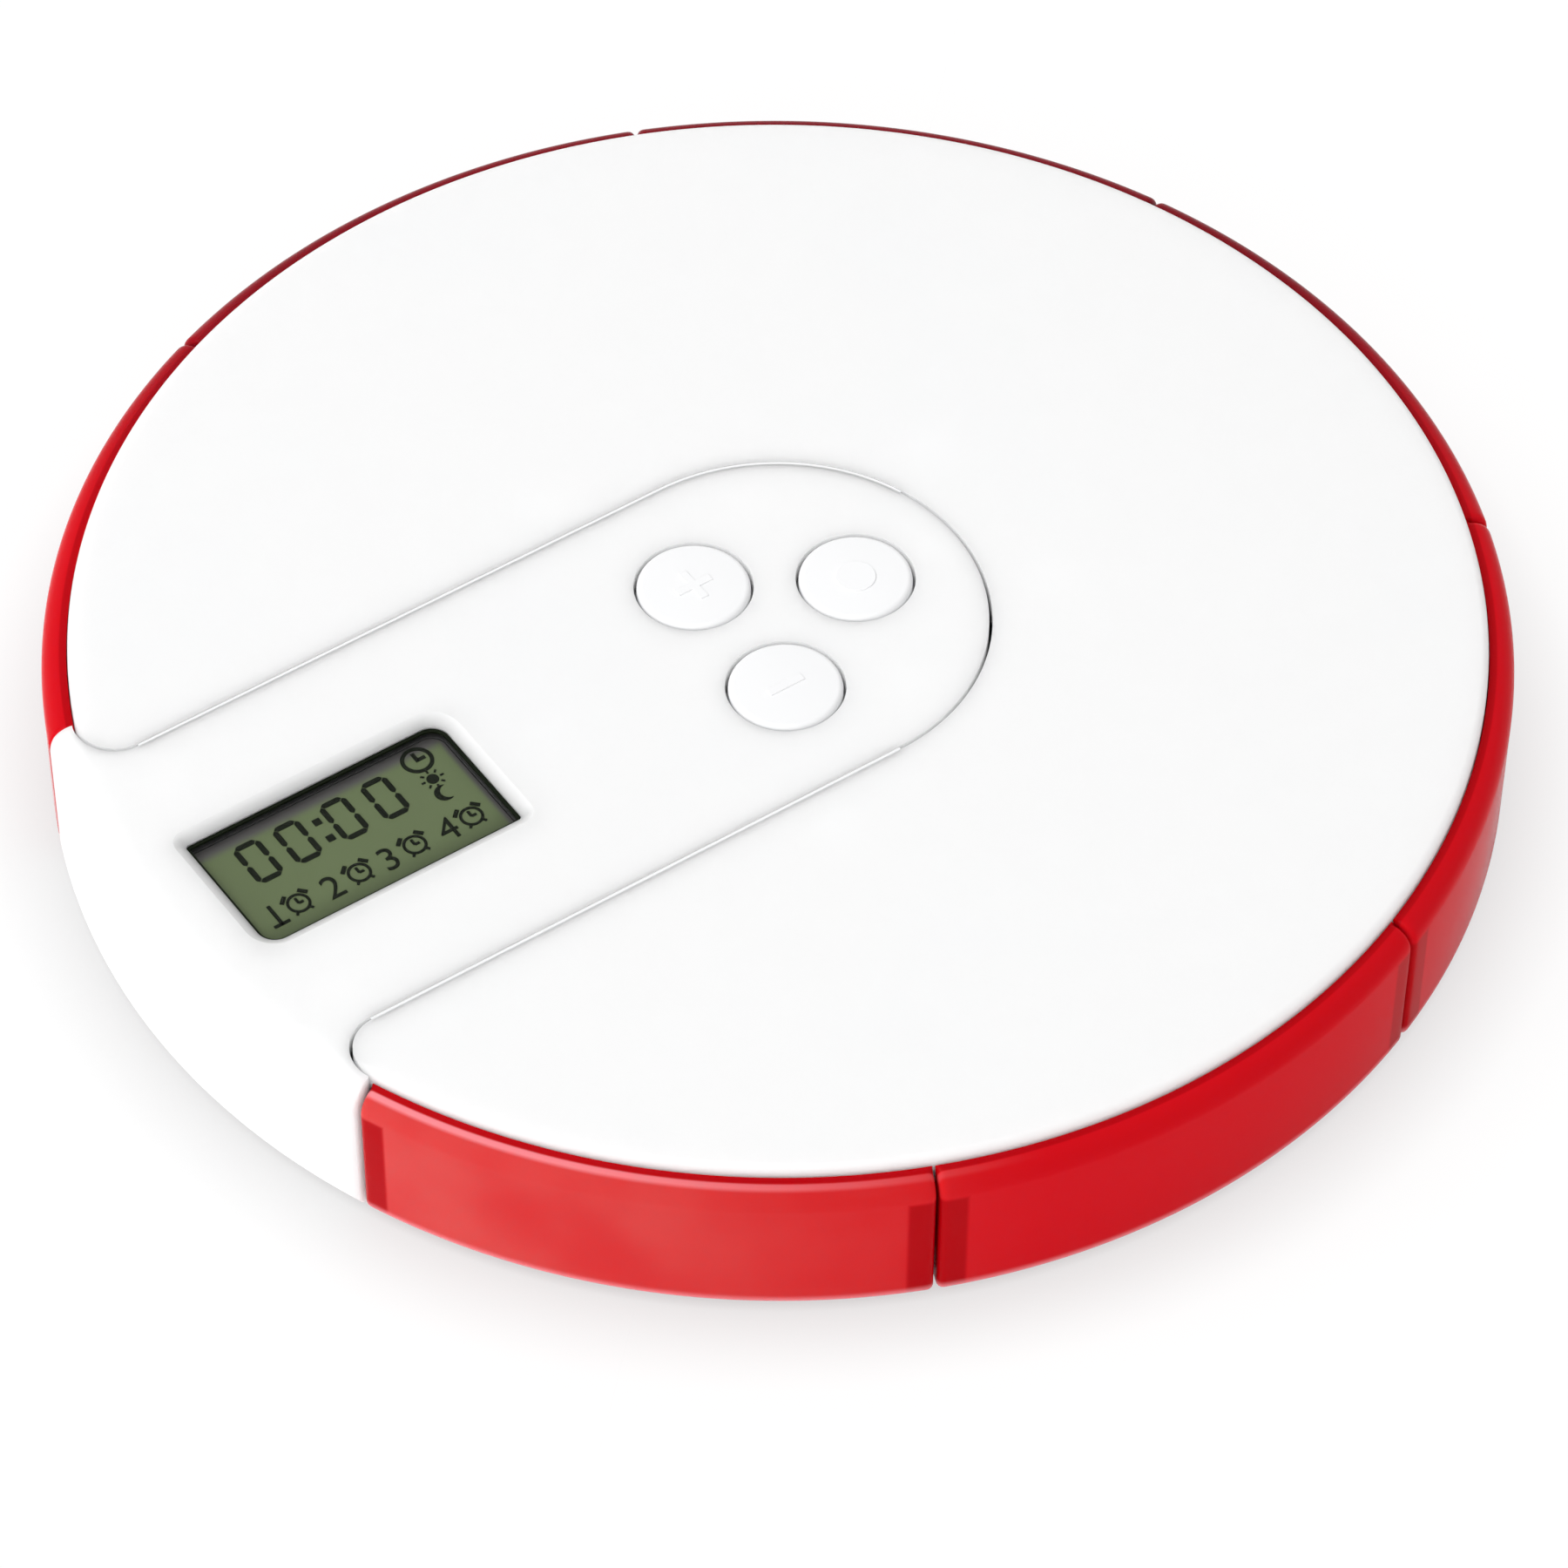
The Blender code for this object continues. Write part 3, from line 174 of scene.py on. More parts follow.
# Reading on the display: strokes, digits, signs, and the alarm row with the foot of its first figure
INK = 0.00004
INK_LOW = FACE_TOP + LAYER / 2.0
DIGIT_PLACES = (-0.05231, -0.04832, -0.04354, -0.03934)
DIGIT_WIDTH = 0.00270
DIGIT_STROKE = 0.00054
DIGIT_LOW = 0.00049
DIGIT_HIGH = 0.00534
DIGIT_GAP = 0.00005
COLON_COLUMN = -0.04572
COLON_ROWS = (0.00166, 0.00386)
COLON_SIZE = 0.00075
CLOCK_PLACE = (-0.03468, 0.00502)
CLOCK_RADIUS = 0.0015
CLOCK_STROKE = 0.00038
LONG_HAND_SHARE = 0.6
SHORT_HAND_SHARE = 0.55
SUN_PLACE = (-0.03473, 0.00244)
SUN_RADIUS = 0.00056
SUN_RAYS = 8
RAY_START_SHARE = 1.35
RAY_LENGTH_SHARE = 0.65
RAY_STROKE_SHARE = 0.35
MOON_PLACE = (-0.03473, 0.00054)
MOON_RADIUS = 0.00092
MOON_TIP = math.radians(60.0)
ALARM_PLACES = (-0.05438, -0.04860, -0.04285, -0.03676)
ALARM_CLOCK_PLACES = (-0.05197, -0.04580, -0.04012, -0.03428)
ALARM_ROW = -0.00306
ALARM_RADIUS = 0.00110
ALARM_STROKE = 0.00027
ALARM_HAND_SHARE = 0.45
BELL_ANGLES = (QUARTER_TURN * 0.5, QUARTER_TURN * 1.5)
BELL_PLACE_SHARE = 1.27
BELL_HALF_SHARE = 0.42
BELL_STROKE = ALARM_STROKE * 1.5
LEG_ANGLES = (-QUARTER_TURN * 0.6, -QUARTER_TURN * 1.4)
LEG_END_SHARE = 1.3
FIGURE_LOW = -0.00441
FIGURE_SIZE = 0.0037
FIGURE_FOOT = 0.0016
FOOT_ROW = -0.00426
FOOT_STROKE = 0.00034

# Other pieces: angle under which two faces are flat, fine edges, and crosses in screw heads as reach,
# depth and width
FLAT_ANGLE = math.radians(0.5)
BASE_EDGE = 0.00015
SMALL_EDGE = 0.0001
FOOT_EDGE = 0.0002
SCREW_EDGE = 0.00012
CASE_CROSS = (0.0019, 0.0006, 0.00045)
BOARD_CROSS = (0.0015, 0.0005, 0.0004)


def numbered(name, count):
    """Names of the solids of one kind."""
    return [f"{name}_{number}" for number in range(1, count + 1)]


# Screws and feet, and solids that only get fine edges, as body, slot and edge
LID_SCREWS = numbered("lid_screw", 4)
PANEL_SCREWS = numbered("panel_screw", 3)
BOARD_SCREWS = numbered("board_screw", 3)
FEET = numbered("rubber_foot", 4)
ROUNDED = {
    "base_plate": ("case", "white_case", BASE_EDGE),
    "battery_door": ("battery_door", "white_case", BASE_EDGE),
    "display_frame": ("case", "white_case", SMALL_EDGE),
    "buzzer": ("case", "black_plastic", SMALL_EDGE),
    "controller_chip": ("case", "black_plastic", SMALL_EDGE),
    "coin_cell": ("case", "steel", SMALL_EDGE),
    "clock_crystal": ("case", "steel", SMALL_EDGE),
}
for button in BUTTONS:
    ROUNDED[button + "_switch"] = ("case", "black_plastic", SMALL_EDGE)
    ROUNDED[button + "_stem"] = (button + "_button", "black_plastic", SMALL_EDGE)


# Digits that a length shows
LENGTH_DIGITS = 5


def length(label, words, value):
    """A length that a user can change."""
    return FloatProperty(name=label, description=words, default=value, min=0.0, precision=LENGTH_DIGITS,
                         unit="LENGTH")


def share(label, words, value, most=1.0):
    """A plain number that a user can change."""
    return FloatProperty(name=label, description=words, default=value, min=0.0, max=most)


def turn(label, words, value):
    """An angle that a user can change."""
    return FloatProperty(name=label, description=words, default=value, subtype="ANGLE", unit="ROTATION")


def colour(label, words, value):
    """A colour that a user can change."""
    return FloatVectorProperty(name=label, description=words, default=value, size=3, min=0.0, max=1.0,
                               subtype="COLOR")


class PillBoxSizes(bpy.types.PropertyGroup):
    """Walls, rounds and gaps of the pieces."""

    lid_thickness: length("Lid thickness", "Height of the lid and the panel's top", 0.0020)
    lid_round: length("Lid round", "Round of the lid's outer edge", 0.00075)
    panel_round: length("Panel round", "Round of the panel's outer edge", 0.0028)
    groove: length("Groove", "Gap between the tongue and the lid", 0.00030)
    edge: length("Edge", "Fine round that every moulded edge has", 0.00018)
    front_wall: length("Front wall", "Thickness of the drawers' fronts", 0.0023)
    front_round: length("Front round", "Round of a front's top", 0.0021)
    front_draft: length("Front draft", "How much narrower the rim is at its foot", 0.0002)
    foot_round: length("Foot round", "Round of the rim's foot", 0.0010)
    end_round: length("End round", "Round of a front's two ends", 0.0006)
    seam: length("Seam", "Gap between two fronts", 0.00028)
    tray_floor: length("Tray floor", "Thickness of a drawer's floor", 0.0015)
    tray_side: length("Tray side", "Thickness of a drawer's sides", 0.0014)
    tray_corner: length("Tray corner", "Round of a drawer's inner corners", 0.0030)
    tray_lip: length("Tray lip", "Wall that backs the front inside the drawer", 0.0007)
    tray_headroom: length("Tray headroom", "Room between a drawer's sides and the lid", 0.0028)
    window_margin: length("Window margin", "How far the pane reaches past the window", 0.0012)
    window_round: length("Window round", "Round of two of the window's corners", 0.0018)
    window_tight: length("Tight round", "Round of the window's other corners", 0.0004)
    window_bevel: length("Window bevel", "Width of the sloping edge round the window", 0.0011)
    window_depth: length("Bevel depth", "Depth of the sloping edge round the window", 0.0008)
    pane_round: length("Pane round", "Round of the pane's corners", 0.0015)
    bezel_reveal: length("Bezel reveal", "How much of the dark bezel shows in the window", 0.00025)
    gasket_reveal: length("Gasket reveal", "How much of the gasket shows in the window", 0.0003)
    button_radius: length("Button radius", "Radius of a button's cap", 0.00507)
    button_gap: length("Button gap", "Gap round a button's cap", 0.00026)
    button_round: length("Button round", "Round of a cap's edge", 0.0005)
    mark_length: length("Mark length", "Length of the marks on the caps", 0.0036)
    mark_width: length("Mark width", "Width of the plus and minus strokes", 0.0008)


class PillBoxColours(bpy.types.PropertyGroup):
    """Colours of the finishes."""

    white: colour("White", "Lid, panel, buttons and base", (0.925, 0.928, 0.935))
    red: colour("Red", "Clear red plastic over a drawer's hollow", (0.60, 0.004, 0.010))
    deep_red: colour("Deep red", "Clear red plastic before a drawer's side", (0.42, 0.001, 0.004))
    # Painted light: paler red where the fronts beside the panel look lit through
    pale_red: colour("Pale red", "Clear red plastic that light shines through", (0.65, 0.072, 0.068))
    # Painted shade: darker red on the top edges of the far side
    far_red: colour("Far red", "Top edges of clear red plastic on the far side", (0.20, 0.004, 0.010))
    # Painted highlight: pale red along the top edge and the foot of the fronts
    edge_red: colour("Edge red", "Edges of clear red plastic, which gather light", (0.84, 0.28, 0.31))
    display: colour("Display", "Grey-green of the display", (0.140, 0.184, 0.084))
    # Painted shadow: dark bands along the display's far and right edges
    display_edge: colour("Display edge", "Dark edge of the display", (0.095, 0.091, 0.090))
    pane: colour("Pane", "Faint tint of the display's pane", (0.02, 0.02, 0.02))
    ink: colour("Ink", "Marks on the display, and its gasket", (0.006, 0.009, 0.004))
    board: colour("Board", "Circuit board", (0.02, 0.16, 0.06))
    floor: colour("Floor", "What the box stands on", (0.94, 0.94, 0.945))


class PillBoxLight(bpy.types.PropertyGroup):
    """Light of the studio."""

    sky: share("Sky", "Even light from all round", 0.60, 4.0)
    key: share("Key", "Strength of the soft light from behind on the left", 1.15, 20.0)
    key_size: turn("Key size", "How wide the key light looks", math.radians(30.0))
    key_azimuth: turn("Key azimuth", "Where the key light stands, from +X towards +Y", math.radians(135.0))
    key_height: turn("Key height", "How high the key light stands", math.radians(50.0))
    fill: share("Fill", "Strength of the soft light in front on the left", 1.25, 20.0)
    fill_size: turn("Fill size", "How wide the fill light looks", math.radians(70.0))
    fill_azimuth: turn("Fill azimuth", "Where the fill light stands, as the key light", math.radians(-150.0))
    fill_height: turn("Fill height", "How high the fill light stands", math.radians(35.0))
    floor_glow: share("Floor glow", "How much of the floor is plain white to the camera", 0.88)
    floor_shade: length("Floor shade", "How far round the box the plain white is shaded", 0.009)


# Noise: where its ramps start and end, its fine detail, and its ripples in each metre
NOISE_BAND = (0.35, 0.65)
NOISE_DETAIL = 2.0
WHITE_CLOUDS = 45.0
WHITE_GRAIN = 400.0
WHITE_PORES = 9000.0
RED_STREAKS = 75.0
RED_GRAIN = 300.0
PANE_GRAIN = 120.0
GREEN_CLOUDS = 120.0
INK_GRAIN = 900.0
BOARD_TRACKS = 350.0

# Tones as shares of a colour, from darkest to lightest
WHITE_TONES = (0.985, 1.0)
GREEN_TONES = (0.95, 1.05)
INK_TONES = (0.85, 1.15)
BOARD_TONES = (1.0, 1.6)

# Roughness, a range or one value, and share of mirror light
WHITE_ROUGHNESS = (0.42, 0.50)
RED_ROUGHNESS = (0.10, 0.14)
PANE_ROUGHNESS = (0.02, 0.04)
INK_ROUGHNESS = (0.45, 0.55)
BOARD_ROUGHNESS = 0.4
GREEN_ROUGHNESS = 0.30
WHITE_GLOSS = 0.30
RED_GLOSS = 0.03
GREEN_GLOSS = 0.2
INK_GLOSS = 0.05

# White plastic: depth of its pores, light inside it, and tone of thin pieces, which light doesn't enter
PORE_DEPTH = 0.000004
WHITE_SPREAD = (1.0, 1.0, 1.0)
WHITE_DEPTH = 0.0025
THIN_TONE = 0.955

# Clear red plastic: light inside it, and where painted streaks of light start and end and how much they
# light
RED_SPREAD = (1.0, 0.12, 0.10)
RED_DEPTH = 0.0006
STREAK_BAND = (0.25, 0.70)
STREAK_LIGHT = (0.45, 0.95)

# Zones of clear red plastic, as where each starts and ends and how strong it is: before a tray's sides and
# top, its inner lip, painted light beside the panel, painted highlights on the top edge and the foot, and
# painted shade on the top edges of the far side
SIDE_ZONE = (0.0023, 0.0028)
TRAY_ZONE = (0.0130, 0.0136)
LIP_ZONE = (0.06325, 0.06345)
LIP_CLEAR = 0.15
PAINTED_LIGHT_ZONE = (-0.058, -0.014)
PAINTED_LIGHT_SIDE = (-0.008, 0.012)
HIGHLIGHT_START = (0.06330, 0.06350)
HIGHLIGHT_END = (0.06375, 0.06415)
HIGHLIGHT_LOW = (0.0142, 0.0146)
HIGHLIGHT_STRENGTH = 0.95
FOOT_HIGHLIGHT_ZONE = (0.0013, 0.0023)
FOOT_HIGHLIGHT = 0.85
FAR_SHADE_SIDE = math.radians(55.0)
FAR_SHADE_ZONE = (0.008, 0.048)
FAR_SHADE_TOP = (0.0130, 0.0142)

# Display: where its painted shadows along the far and right edges and its painted shade along the near edge
# start and end, the painted shade's tone, and how much the pane hides
NEAR_SHADE_FADE = (-0.0066, -0.0030)
FAR_SHADOW_FADE = (0.0050, 0.0061)
SIDE_SHADOW_FADE = (-0.0323, -0.0317)
NEAR_SHADE_TONE = 0.6
PANE_ALPHA = 0.06

# Camera: where the photograph was taken from
CAMERA_LENS = 195.235
CAMERA_SENSOR = 36.0
CAMERA_AZIMUTH = math.radians(-34.848)
CAMERA_ELEVATION = math.radians(48.441)
CAMERA_ROLL = math.radians(0.502)
CAMERA_DISTANCE = 0.749942
CAMERA_ASIDE = -0.000506
CAMERA_RISE = 0.014279
CAMERA_AIM = 0.01565


def only(piece):
    """Selects one piece and nothing else."""
    bpy.ops.object.select_all(action="DESELECT")
    piece.select_set(True)
    bpy.context.view_layer.objects.active = piece


@contextlib.contextmanager
def editing(piece):
    """Edit mode on one piece, with all of it selected."""
    only(piece)
    bpy.ops.object.mode_set(mode="EDIT")
    bpy.ops.mesh.select_mode(type="VERT")
    bpy.ops.mesh.select_all(action="SELECT")
    yield
    bpy.ops.object.mode_set(mode="OBJECT")


def pick_edges(piece, test):
    """Selects the edges of a piece in edit mode that pass a test."""
    bpy.ops.mesh.select_mode(type="EDGE")
    bpy.ops.mesh.select_all(action="DESELECT")
    for edge in bmesh.from_edit_mesh(piece.data).edges:
        if test(edge):
            edge.select_set(True)
    bmesh.update_edit_mesh(piece.data)


def copy_of(pattern):
    """A second piece with its own mesh."""
    only(pattern)
    bpy.ops.object.duplicate()
    return bpy.context.object


def called(name):
    """The object just added, with its name."""
    piece = bpy.context.object
    piece.name = name
    piece.data.name = name
    return piece


def settle(piece):
    """Puts a piece's place into its mesh."""
    only(piece)
    bpy.ops.object.transform_apply(location=True, rotation=True, scale=True)
    return piece


def point_outwards(piece):
    """Turns all the faces of a closed piece outwards."""
    with editing(piece):
        bpy.ops.mesh.normals_make_consistent(inside=False)
    return piece


def trace(name, points, fill=True):
    """A line pulled from point to point, filled if it is an outline."""
    bpy.ops.mesh.primitive_plane_add(size=POINT_SIZE, location=points[0])
    piece = settle(called(name))
    with editing(piece):
        bpy.ops.mesh.merge(type="CENTER")
        for last, place in zip(points, points[1:]):
            step = Vector(place) - Vector(last)
            bpy.ops.mesh.extrude_vertices_move(TRANSFORM_OT_translate={"value": step})
        if fill:
            bpy.ops.mesh.select_all(action="SELECT")
            bpy.ops.mesh.edge_face_add()
    return piece


def plate(name, outline, low, high):
    """An outline filled and pulled up into a solid."""
    piece = trace(name, [(x, y, low) for x, y in outline])
    with editing(piece):
        bpy.ops.mesh.extrude_region_move(TRANSFORM_OT_translate={"value": (0.0, 0.0, high - low)})
    return point_outwards(piece)


def turned(name, profile, centre=MIDDLE, steps=SMALL_STEPS):
    """A line of radius and height points spun once round an upright axis."""
    piece = trace(name, [(centre[0] + radius, centre[1], height) for radius, height in profile], fill=False)
    with editing(piece):
        bpy.ops.mesh.spin(steps=steps, angle=FULL_TURN, center=(*centre, 0.0), axis=UPRIGHT)
        bpy.ops.mesh.select_all(action="SELECT")
        bpy.ops.mesh.remove_doubles(threshold=WELD)
    return point_outwards(piece)


def swept(name, profile, start, end, steps):
    """A filled profile of radius and height points swept round the middle, counter-clockwise."""
    cosine, sine = math.cos(start), math.sin(start)
    piece = trace(name, [(radius * cosine, radius * sine, height) for radius, height in profile])
    with editing(piece):
        bpy.ops.mesh.spin(steps=steps, angle=start - end, center=(*MIDDLE, 0.0), axis=UPRIGHT)
    return point_outwards(piece)


def stacked(name, levels):
    """Outlines at two heights or more, bridged in turn and closed at both ends."""
    rings = []
    for outline, height in levels:
        ring = trace(name, [(x, y, height) for x, y in outline])
        with editing(ring):
            bpy.ops.mesh.delete(type="ONLY_FACE")
        rings.append(ring)
    piece = gather(rings)
    heights = [height for _outline, height in levels]

    def pick_at(*places):
        """Selects the edges that lie level at one of some heights."""
        pick_edges(piece, lambda edge: any(all(abs(corner.co.z - place) < WELD for corner in edge.verts)
                                           for place in places))

    with editing(piece):
        for low, high in zip(heights, heights[1:]):
            pick_at(low, high)
            bpy.ops.mesh.bridge_edge_loops()
        for height in (heights[0], heights[-1]):
            pick_at(height)
            bpy.ops.mesh.edge_face_add()
    return point_outwards(piece)


def disc(name, centre, radius, low, high, steps=HOLE_STEPS):
    """A round solid between two heights."""
    place = (*centre, (low + high) / 2.0)
    bpy.ops.mesh.primitive_cylinder_add(vertices=steps, radius=radius, depth=high - low, location=place)
    return settle(called(name))


def gather(pieces):
    """Several pieces made one object, with no change to their shapes."""
    only(pieces[0])
    for piece in pieces[1:]:
        piece.select_set(True)
    bpy.ops.object.join()
    return pieces[0]


def combine(piece, tool, operation):
    """Joins, cuts or keeps the overlap of two solids in the first, and removes the second."""
    modifier = piece.modifiers.new(operation.title(), "BOOLEAN")
    modifier.operation = operation
    modifier.solver = "EXACT"
    modifier.object = tool
    only(piece)
    bpy.ops.object.modifier_apply(modifier=modifier.name)
    bpy.data.objects.remove(tool)
    return piece


def join(piece, tool):
    """Joins a second solid to the first."""
    return combine(piece, tool, "UNION")


def take(piece, tool):
    """Takes a second solid out of the first."""
    return combine(piece, tool, "DIFFERENCE")


def keep_inside(piece, tool):
    """Keeps what two solids share."""
    return combine(piece, tool, "INTERSECT")


def soften(piece, width, steps=EDGE_STEPS):
    """Fine rounds on all the sharp edges, which keep the flat faces flat."""
    with editing(piece):
        bpy.ops.mesh.remove_doubles(threshold=NEAR)
    modifier = piece.modifiers.new("Edges", "BEVEL")
    modifier.width = width
    modifier.segments = steps
    modifier.limit_method = "ANGLE"
    modifier.angle_limit = EDGE_ANGLE
    modifier.harden_normals = True
    only(piece)
    bpy.ops.object.shade_smooth()
    bpy.ops.object.modifier_apply(modifier=modifier.name)
    return piece


def round_edges(piece, width, steps, test):
    """Bevels the edges that pass a test."""
    with editing(piece):
        pick_edges(piece, test)
        bpy.ops.mesh.bevel(offset=width, segments=steps, profile=ROUND_SHARE, affect="EDGES")
    return piece


def finish(piece, name):
    """Gives a piece the material of that name: one that is there, or a new one when first asked for."""
    colours = bpy.context.scene.pill_box_colours
    material = bpy.data.materials.get(name) or FINISHES[name](colours, name)
    piece.data.materials.clear()
    piece.data.materials.append(material)


def dress(piece, name, body, slot, nodes=(), look=None):
    """Names a piece, gives it its slot's material or the one named in look, and ties it to the frame."""
    piece.name = name
    piece.data.name = name
    finish(piece, look or SLOT_LOOKS.get(slot, slot))
    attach(piece, body)
    if nodes:
        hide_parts(*nodes)
    return piece


def polar(radius, angle):
    """Point at a distance and an angle from the middle."""
    return (radius * math.cos(angle), radius * math.sin(angle))


def arc(centre, radius, start, end, steps):
    """Points along an arc, both ends included."""
    points = []
    for i in range(steps + 1):
        x, y = polar(radius, start + (end - start) * i / steps)
        points.append((centre[0] + x, centre[1] + y))
    return points


def circle(centre, radius):
    """Points once round a circle."""
    return arc(centre, radius, 0.0, FULL_TURN, SMALL_STEPS)[:-1]


def round_top(radius, top, size, steps=ROUND_STEPS):
    """Radius and height points round the top edge of a round piece."""
    return arc((radius - size, top - size), size, 0.0, QUARTER_TURN, steps)


def rounded_box(centre, across, along, rounds):
    """Outline of a rectangle, with the rounds of its corners from +X +Y counter-clockwise."""
    outline = []
    for quarter, (side_x, side_y) in enumerate(((1, 1), (-1, 1), (-1, -1), (1, -1))):
        radius = rounds[quarter]
        x = centre[0] + side_x * (across / 2.0 - radius)
        y = centre[1] + side_y * (along / 2.0 - radius)
        start = quarter * QUARTER_TURN
        outline += arc((x, y), radius, start, start + QUARTER_TURN, CORNER_STEPS)
    return outline


def strip(start, end, width):
    """Outline of a straight stroke between two points."""
    start, end = Vector(start), Vector(end)
    along = (end - start).normalized()
    side = Vector((-along.y, along.x)) * width / 2.0
    return [tuple(corner) for corner in (start + side, end + side, end - side, start - side)]


def cross(place, reach, half):
    """Outline of a cross with four equal arms."""
    outline = []
    for quarter in range(CORNERS):
        along, across = polar(1.0, quarter * QUARTER_TURN)
        for x, y in ((reach, -half), (reach, half), (half, half)):
            outline.append((place[0] + x * along - y * across, place[1] + x * across + y * along))
    return outline


def window_outline(sizes, margin):
    """The window grown by a margin, with two round corners and two tight ones across from each other."""
    rounds = [sizes.window_round + margin, sizes.window_tight + margin] * 2
    extra = 2.0 * (margin - sizes.window_margin)
    along = PANE_ALONG + extra + 2.0 * WINDOW_WIDER
    return rounded_box((WINDOW_PLACE, WINDOW_RISE), PANE_ACROSS + extra, along, rounds)


def pane_outline(sizes, gap=0.0):
    """The pane, with a gap all round it."""
    rounds = [sizes.pane_round] * CORNERS
    return rounded_box((WINDOW_PLACE, 0.0), PANE_ACROSS + 2.0 * gap, PANE_ALONG + 2.0 * gap, rounds)


def seam_angle(sizes):
    """Half of the gap between two fronts, as an angle."""
    return sizes.seam / 2.0 / CASE_RADIUS


def corner_round(sizes):
    """Round of the lid's two corners beside the tongue, which end where the drawers begin."""
    edge = math.sin(HALF_SLICE - seam_angle(sizes))
    return (LID_RADIUS * edge - HALF_TONGUE - sizes.groove) / (1.0 + edge)


def corner_centre(sizes, side):
    """Middle of that round, on the +Y or -Y side of the tongue."""
    radius = corner_round(sizes)
    y = HALF_TONGUE + sizes.groove + radius
    return (-math.sqrt((LID_RADIUS - radius) ** 2 - y ** 2), side * y)


def tongue_outline(sizes, half_width, flare_round, end_points):
    """Tongue and slice seen from above: round nose, straight sides, flares and an outer end."""
    top = corner_centre(sizes, 1)
    bottom = corner_centre(sizes, -1)
    meet = math.atan2(top[1], top[0])
    outline = arc(MIDDLE, half_width, -QUARTER_TURN, QUARTER_TURN, NOSE_STEPS)
    outline += arc(top, flare_round, -QUARTER_TURN, meet - FULL_TURN, 2 * CORNER_STEPS)
    outline += end_points
    outline += arc(bottom, flare_round, FULL_TURN - meet, QUARTER_TURN, 2 * CORNER_STEPS)
    return outline


def cutout_outline(sizes):
    """What the tongue and the slice take out of the lid."""
    far = CASE_RADIUS + OVERRUN
    top = corner_centre(sizes, 1)
    meet = HALF_TURN - math.atan2(top[1], -top[0])
    ends = [polar(far, meet), (-far, far * math.sin(meet)), (-far, -far * math.sin(meet)), polar(far, -meet)]
    return tongue_outline(sizes, HALF_TONGUE + sizes.groove, corner_round(sizes), ends)


def panel_outline(sizes):
    """The panel from above, with blunt rounded ends beside the drawers' fronts."""
    start = HALF_TURN - HALF_SLICE + seam_angle(sizes)
    end_round = (sizes.front_wall - GAP) / 2.0
    outer = CASE_RADIUS + EMBED
    swing = end_round / (outer - end_round)
    near = polar(outer - end_round, start + swing)
    far = polar(outer - end_round, -start - swing)
    ends = arc(near, end_round, start - QUARTER_TURN, start + swing, CORNER_STEPS)
    ends += arc(MIDDLE, outer, start + swing, FULL_TURN - start - swing, SLICE_STEPS)[1:-1]
    ends += arc(far, end_round, -start - swing, -start + QUARTER_TURN, CORNER_STEPS)
    return tongue_outline(sizes, HALF_TONGUE, corner_round(sizes) + sizes.groove, ends)


def rim_profile(sizes, top, top_size):
    """Outer half section of the rim: round foot, drafted wall and round top edge."""
    foot = CASE_RADIUS - sizes.front_draft
    low = DRAWER_LOW.z + sizes.foot_round
    profile = arc((foot - sizes.foot_round, low), sizes.foot_round, -QUARTER_TURN, 0.0, ROUND_STEPS)
    return profile + round_top(CASE_RADIUS, top, top_size, 2 * ROUND_STEPS)


def tray_outline(side, inner, outer, corner):
    """A drawer from above, its middle along +X: side is what lies between it and its slice."""
    sine, cosine = math.sin(HALF_SLICE), math.cos(HALF_SLICE)
    reach = HALF_SLICE - math.asin(side / outer)
    x = inner + corner
    along = (x - (side + corner) * sine) / cosine
    y = along * sine - (side + corner) * cosine
    outline = arc(MIDDLE, outer, -reach, reach, SLICE_STEPS)
    outline += arc((x, y), corner, HALF_SLICE + QUARTER_TURN, HALF_TURN, CORNER_STEPS)
    outline += arc((x, -y), corner, HALF_TURN, HALF_TURN + QUARTER_TURN - HALF_SLICE, CORNER_STEPS)
    return outline


def new_material(name):
    """A material with its node tree and its shader."""
    material = bpy.data.materials.new(name)
    material.use_nodes = True
    return material, material.node_tree, material.node_tree.nodes["Principled BSDF"]


def add_noise(tree, ripples, detail=NOISE_DETAIL):
    """A noise on the piece's own coordinates."""
    place = tree.nodes.new("ShaderNodeTexCoord")
    noise = tree.nodes.new("ShaderNodeTexNoise")
    noise.inputs["Scale"].default_value = ripples
    noise.inputs["Detail"].default_value = detail
    tree.links.new(place.outputs["Object"], noise.inputs["Vector"])
    return noise.outputs["Fac"]


def mottle(tree, shader, name, ripples, ends, detail=NOISE_DETAIL):
    """A shader's socket that follows a noise between two values or two colours."""
    node = tree.nodes.new("ShaderNodeValToRGB")
    for stop, value, position in zip(node.color_ramp.elements, ends, NOISE_BAND):
        stop.color = (*value, 1.0) if isinstance(value, tuple) else (value, value, value, 1.0)
        stop.position = position
    tree.links.new(add_noise(tree, ripples, detail), node.inputs["Fac"])
    tree.links.new(node.outputs["Color"], shader.inputs[name])


def empty_tree(owner):
    """A material's or a world's node tree with nothing in it."""
    owner.use_nodes = True
    owner.node_tree.nodes.clear()
    return owner.node_tree


def mix_shaders(tree, factor, first, second, output):
    """Shows two shaders mixed: all of the first where the factor is 0."""
    mix = tree.nodes.new("ShaderNodeMixShader")
    for socket, source in zip(mix.inputs, (factor, first, second)):
        tree.links.new(source, socket)
    tree.links.new(mix.outputs["Shader"], tree.nodes.new(output).inputs["Surface"])


def own_place(tree):
    """The piece's own coordinates, one socket for each."""
    place = tree.nodes.new("ShaderNodeTexCoord")
    split = tree.nodes.new("ShaderNodeSeparateXYZ")
    tree.links.new(place.outputs["Object"], split.inputs["Vector"])
    return split.outputs["X"], split.outputs["Y"], split.outputs["Z"]


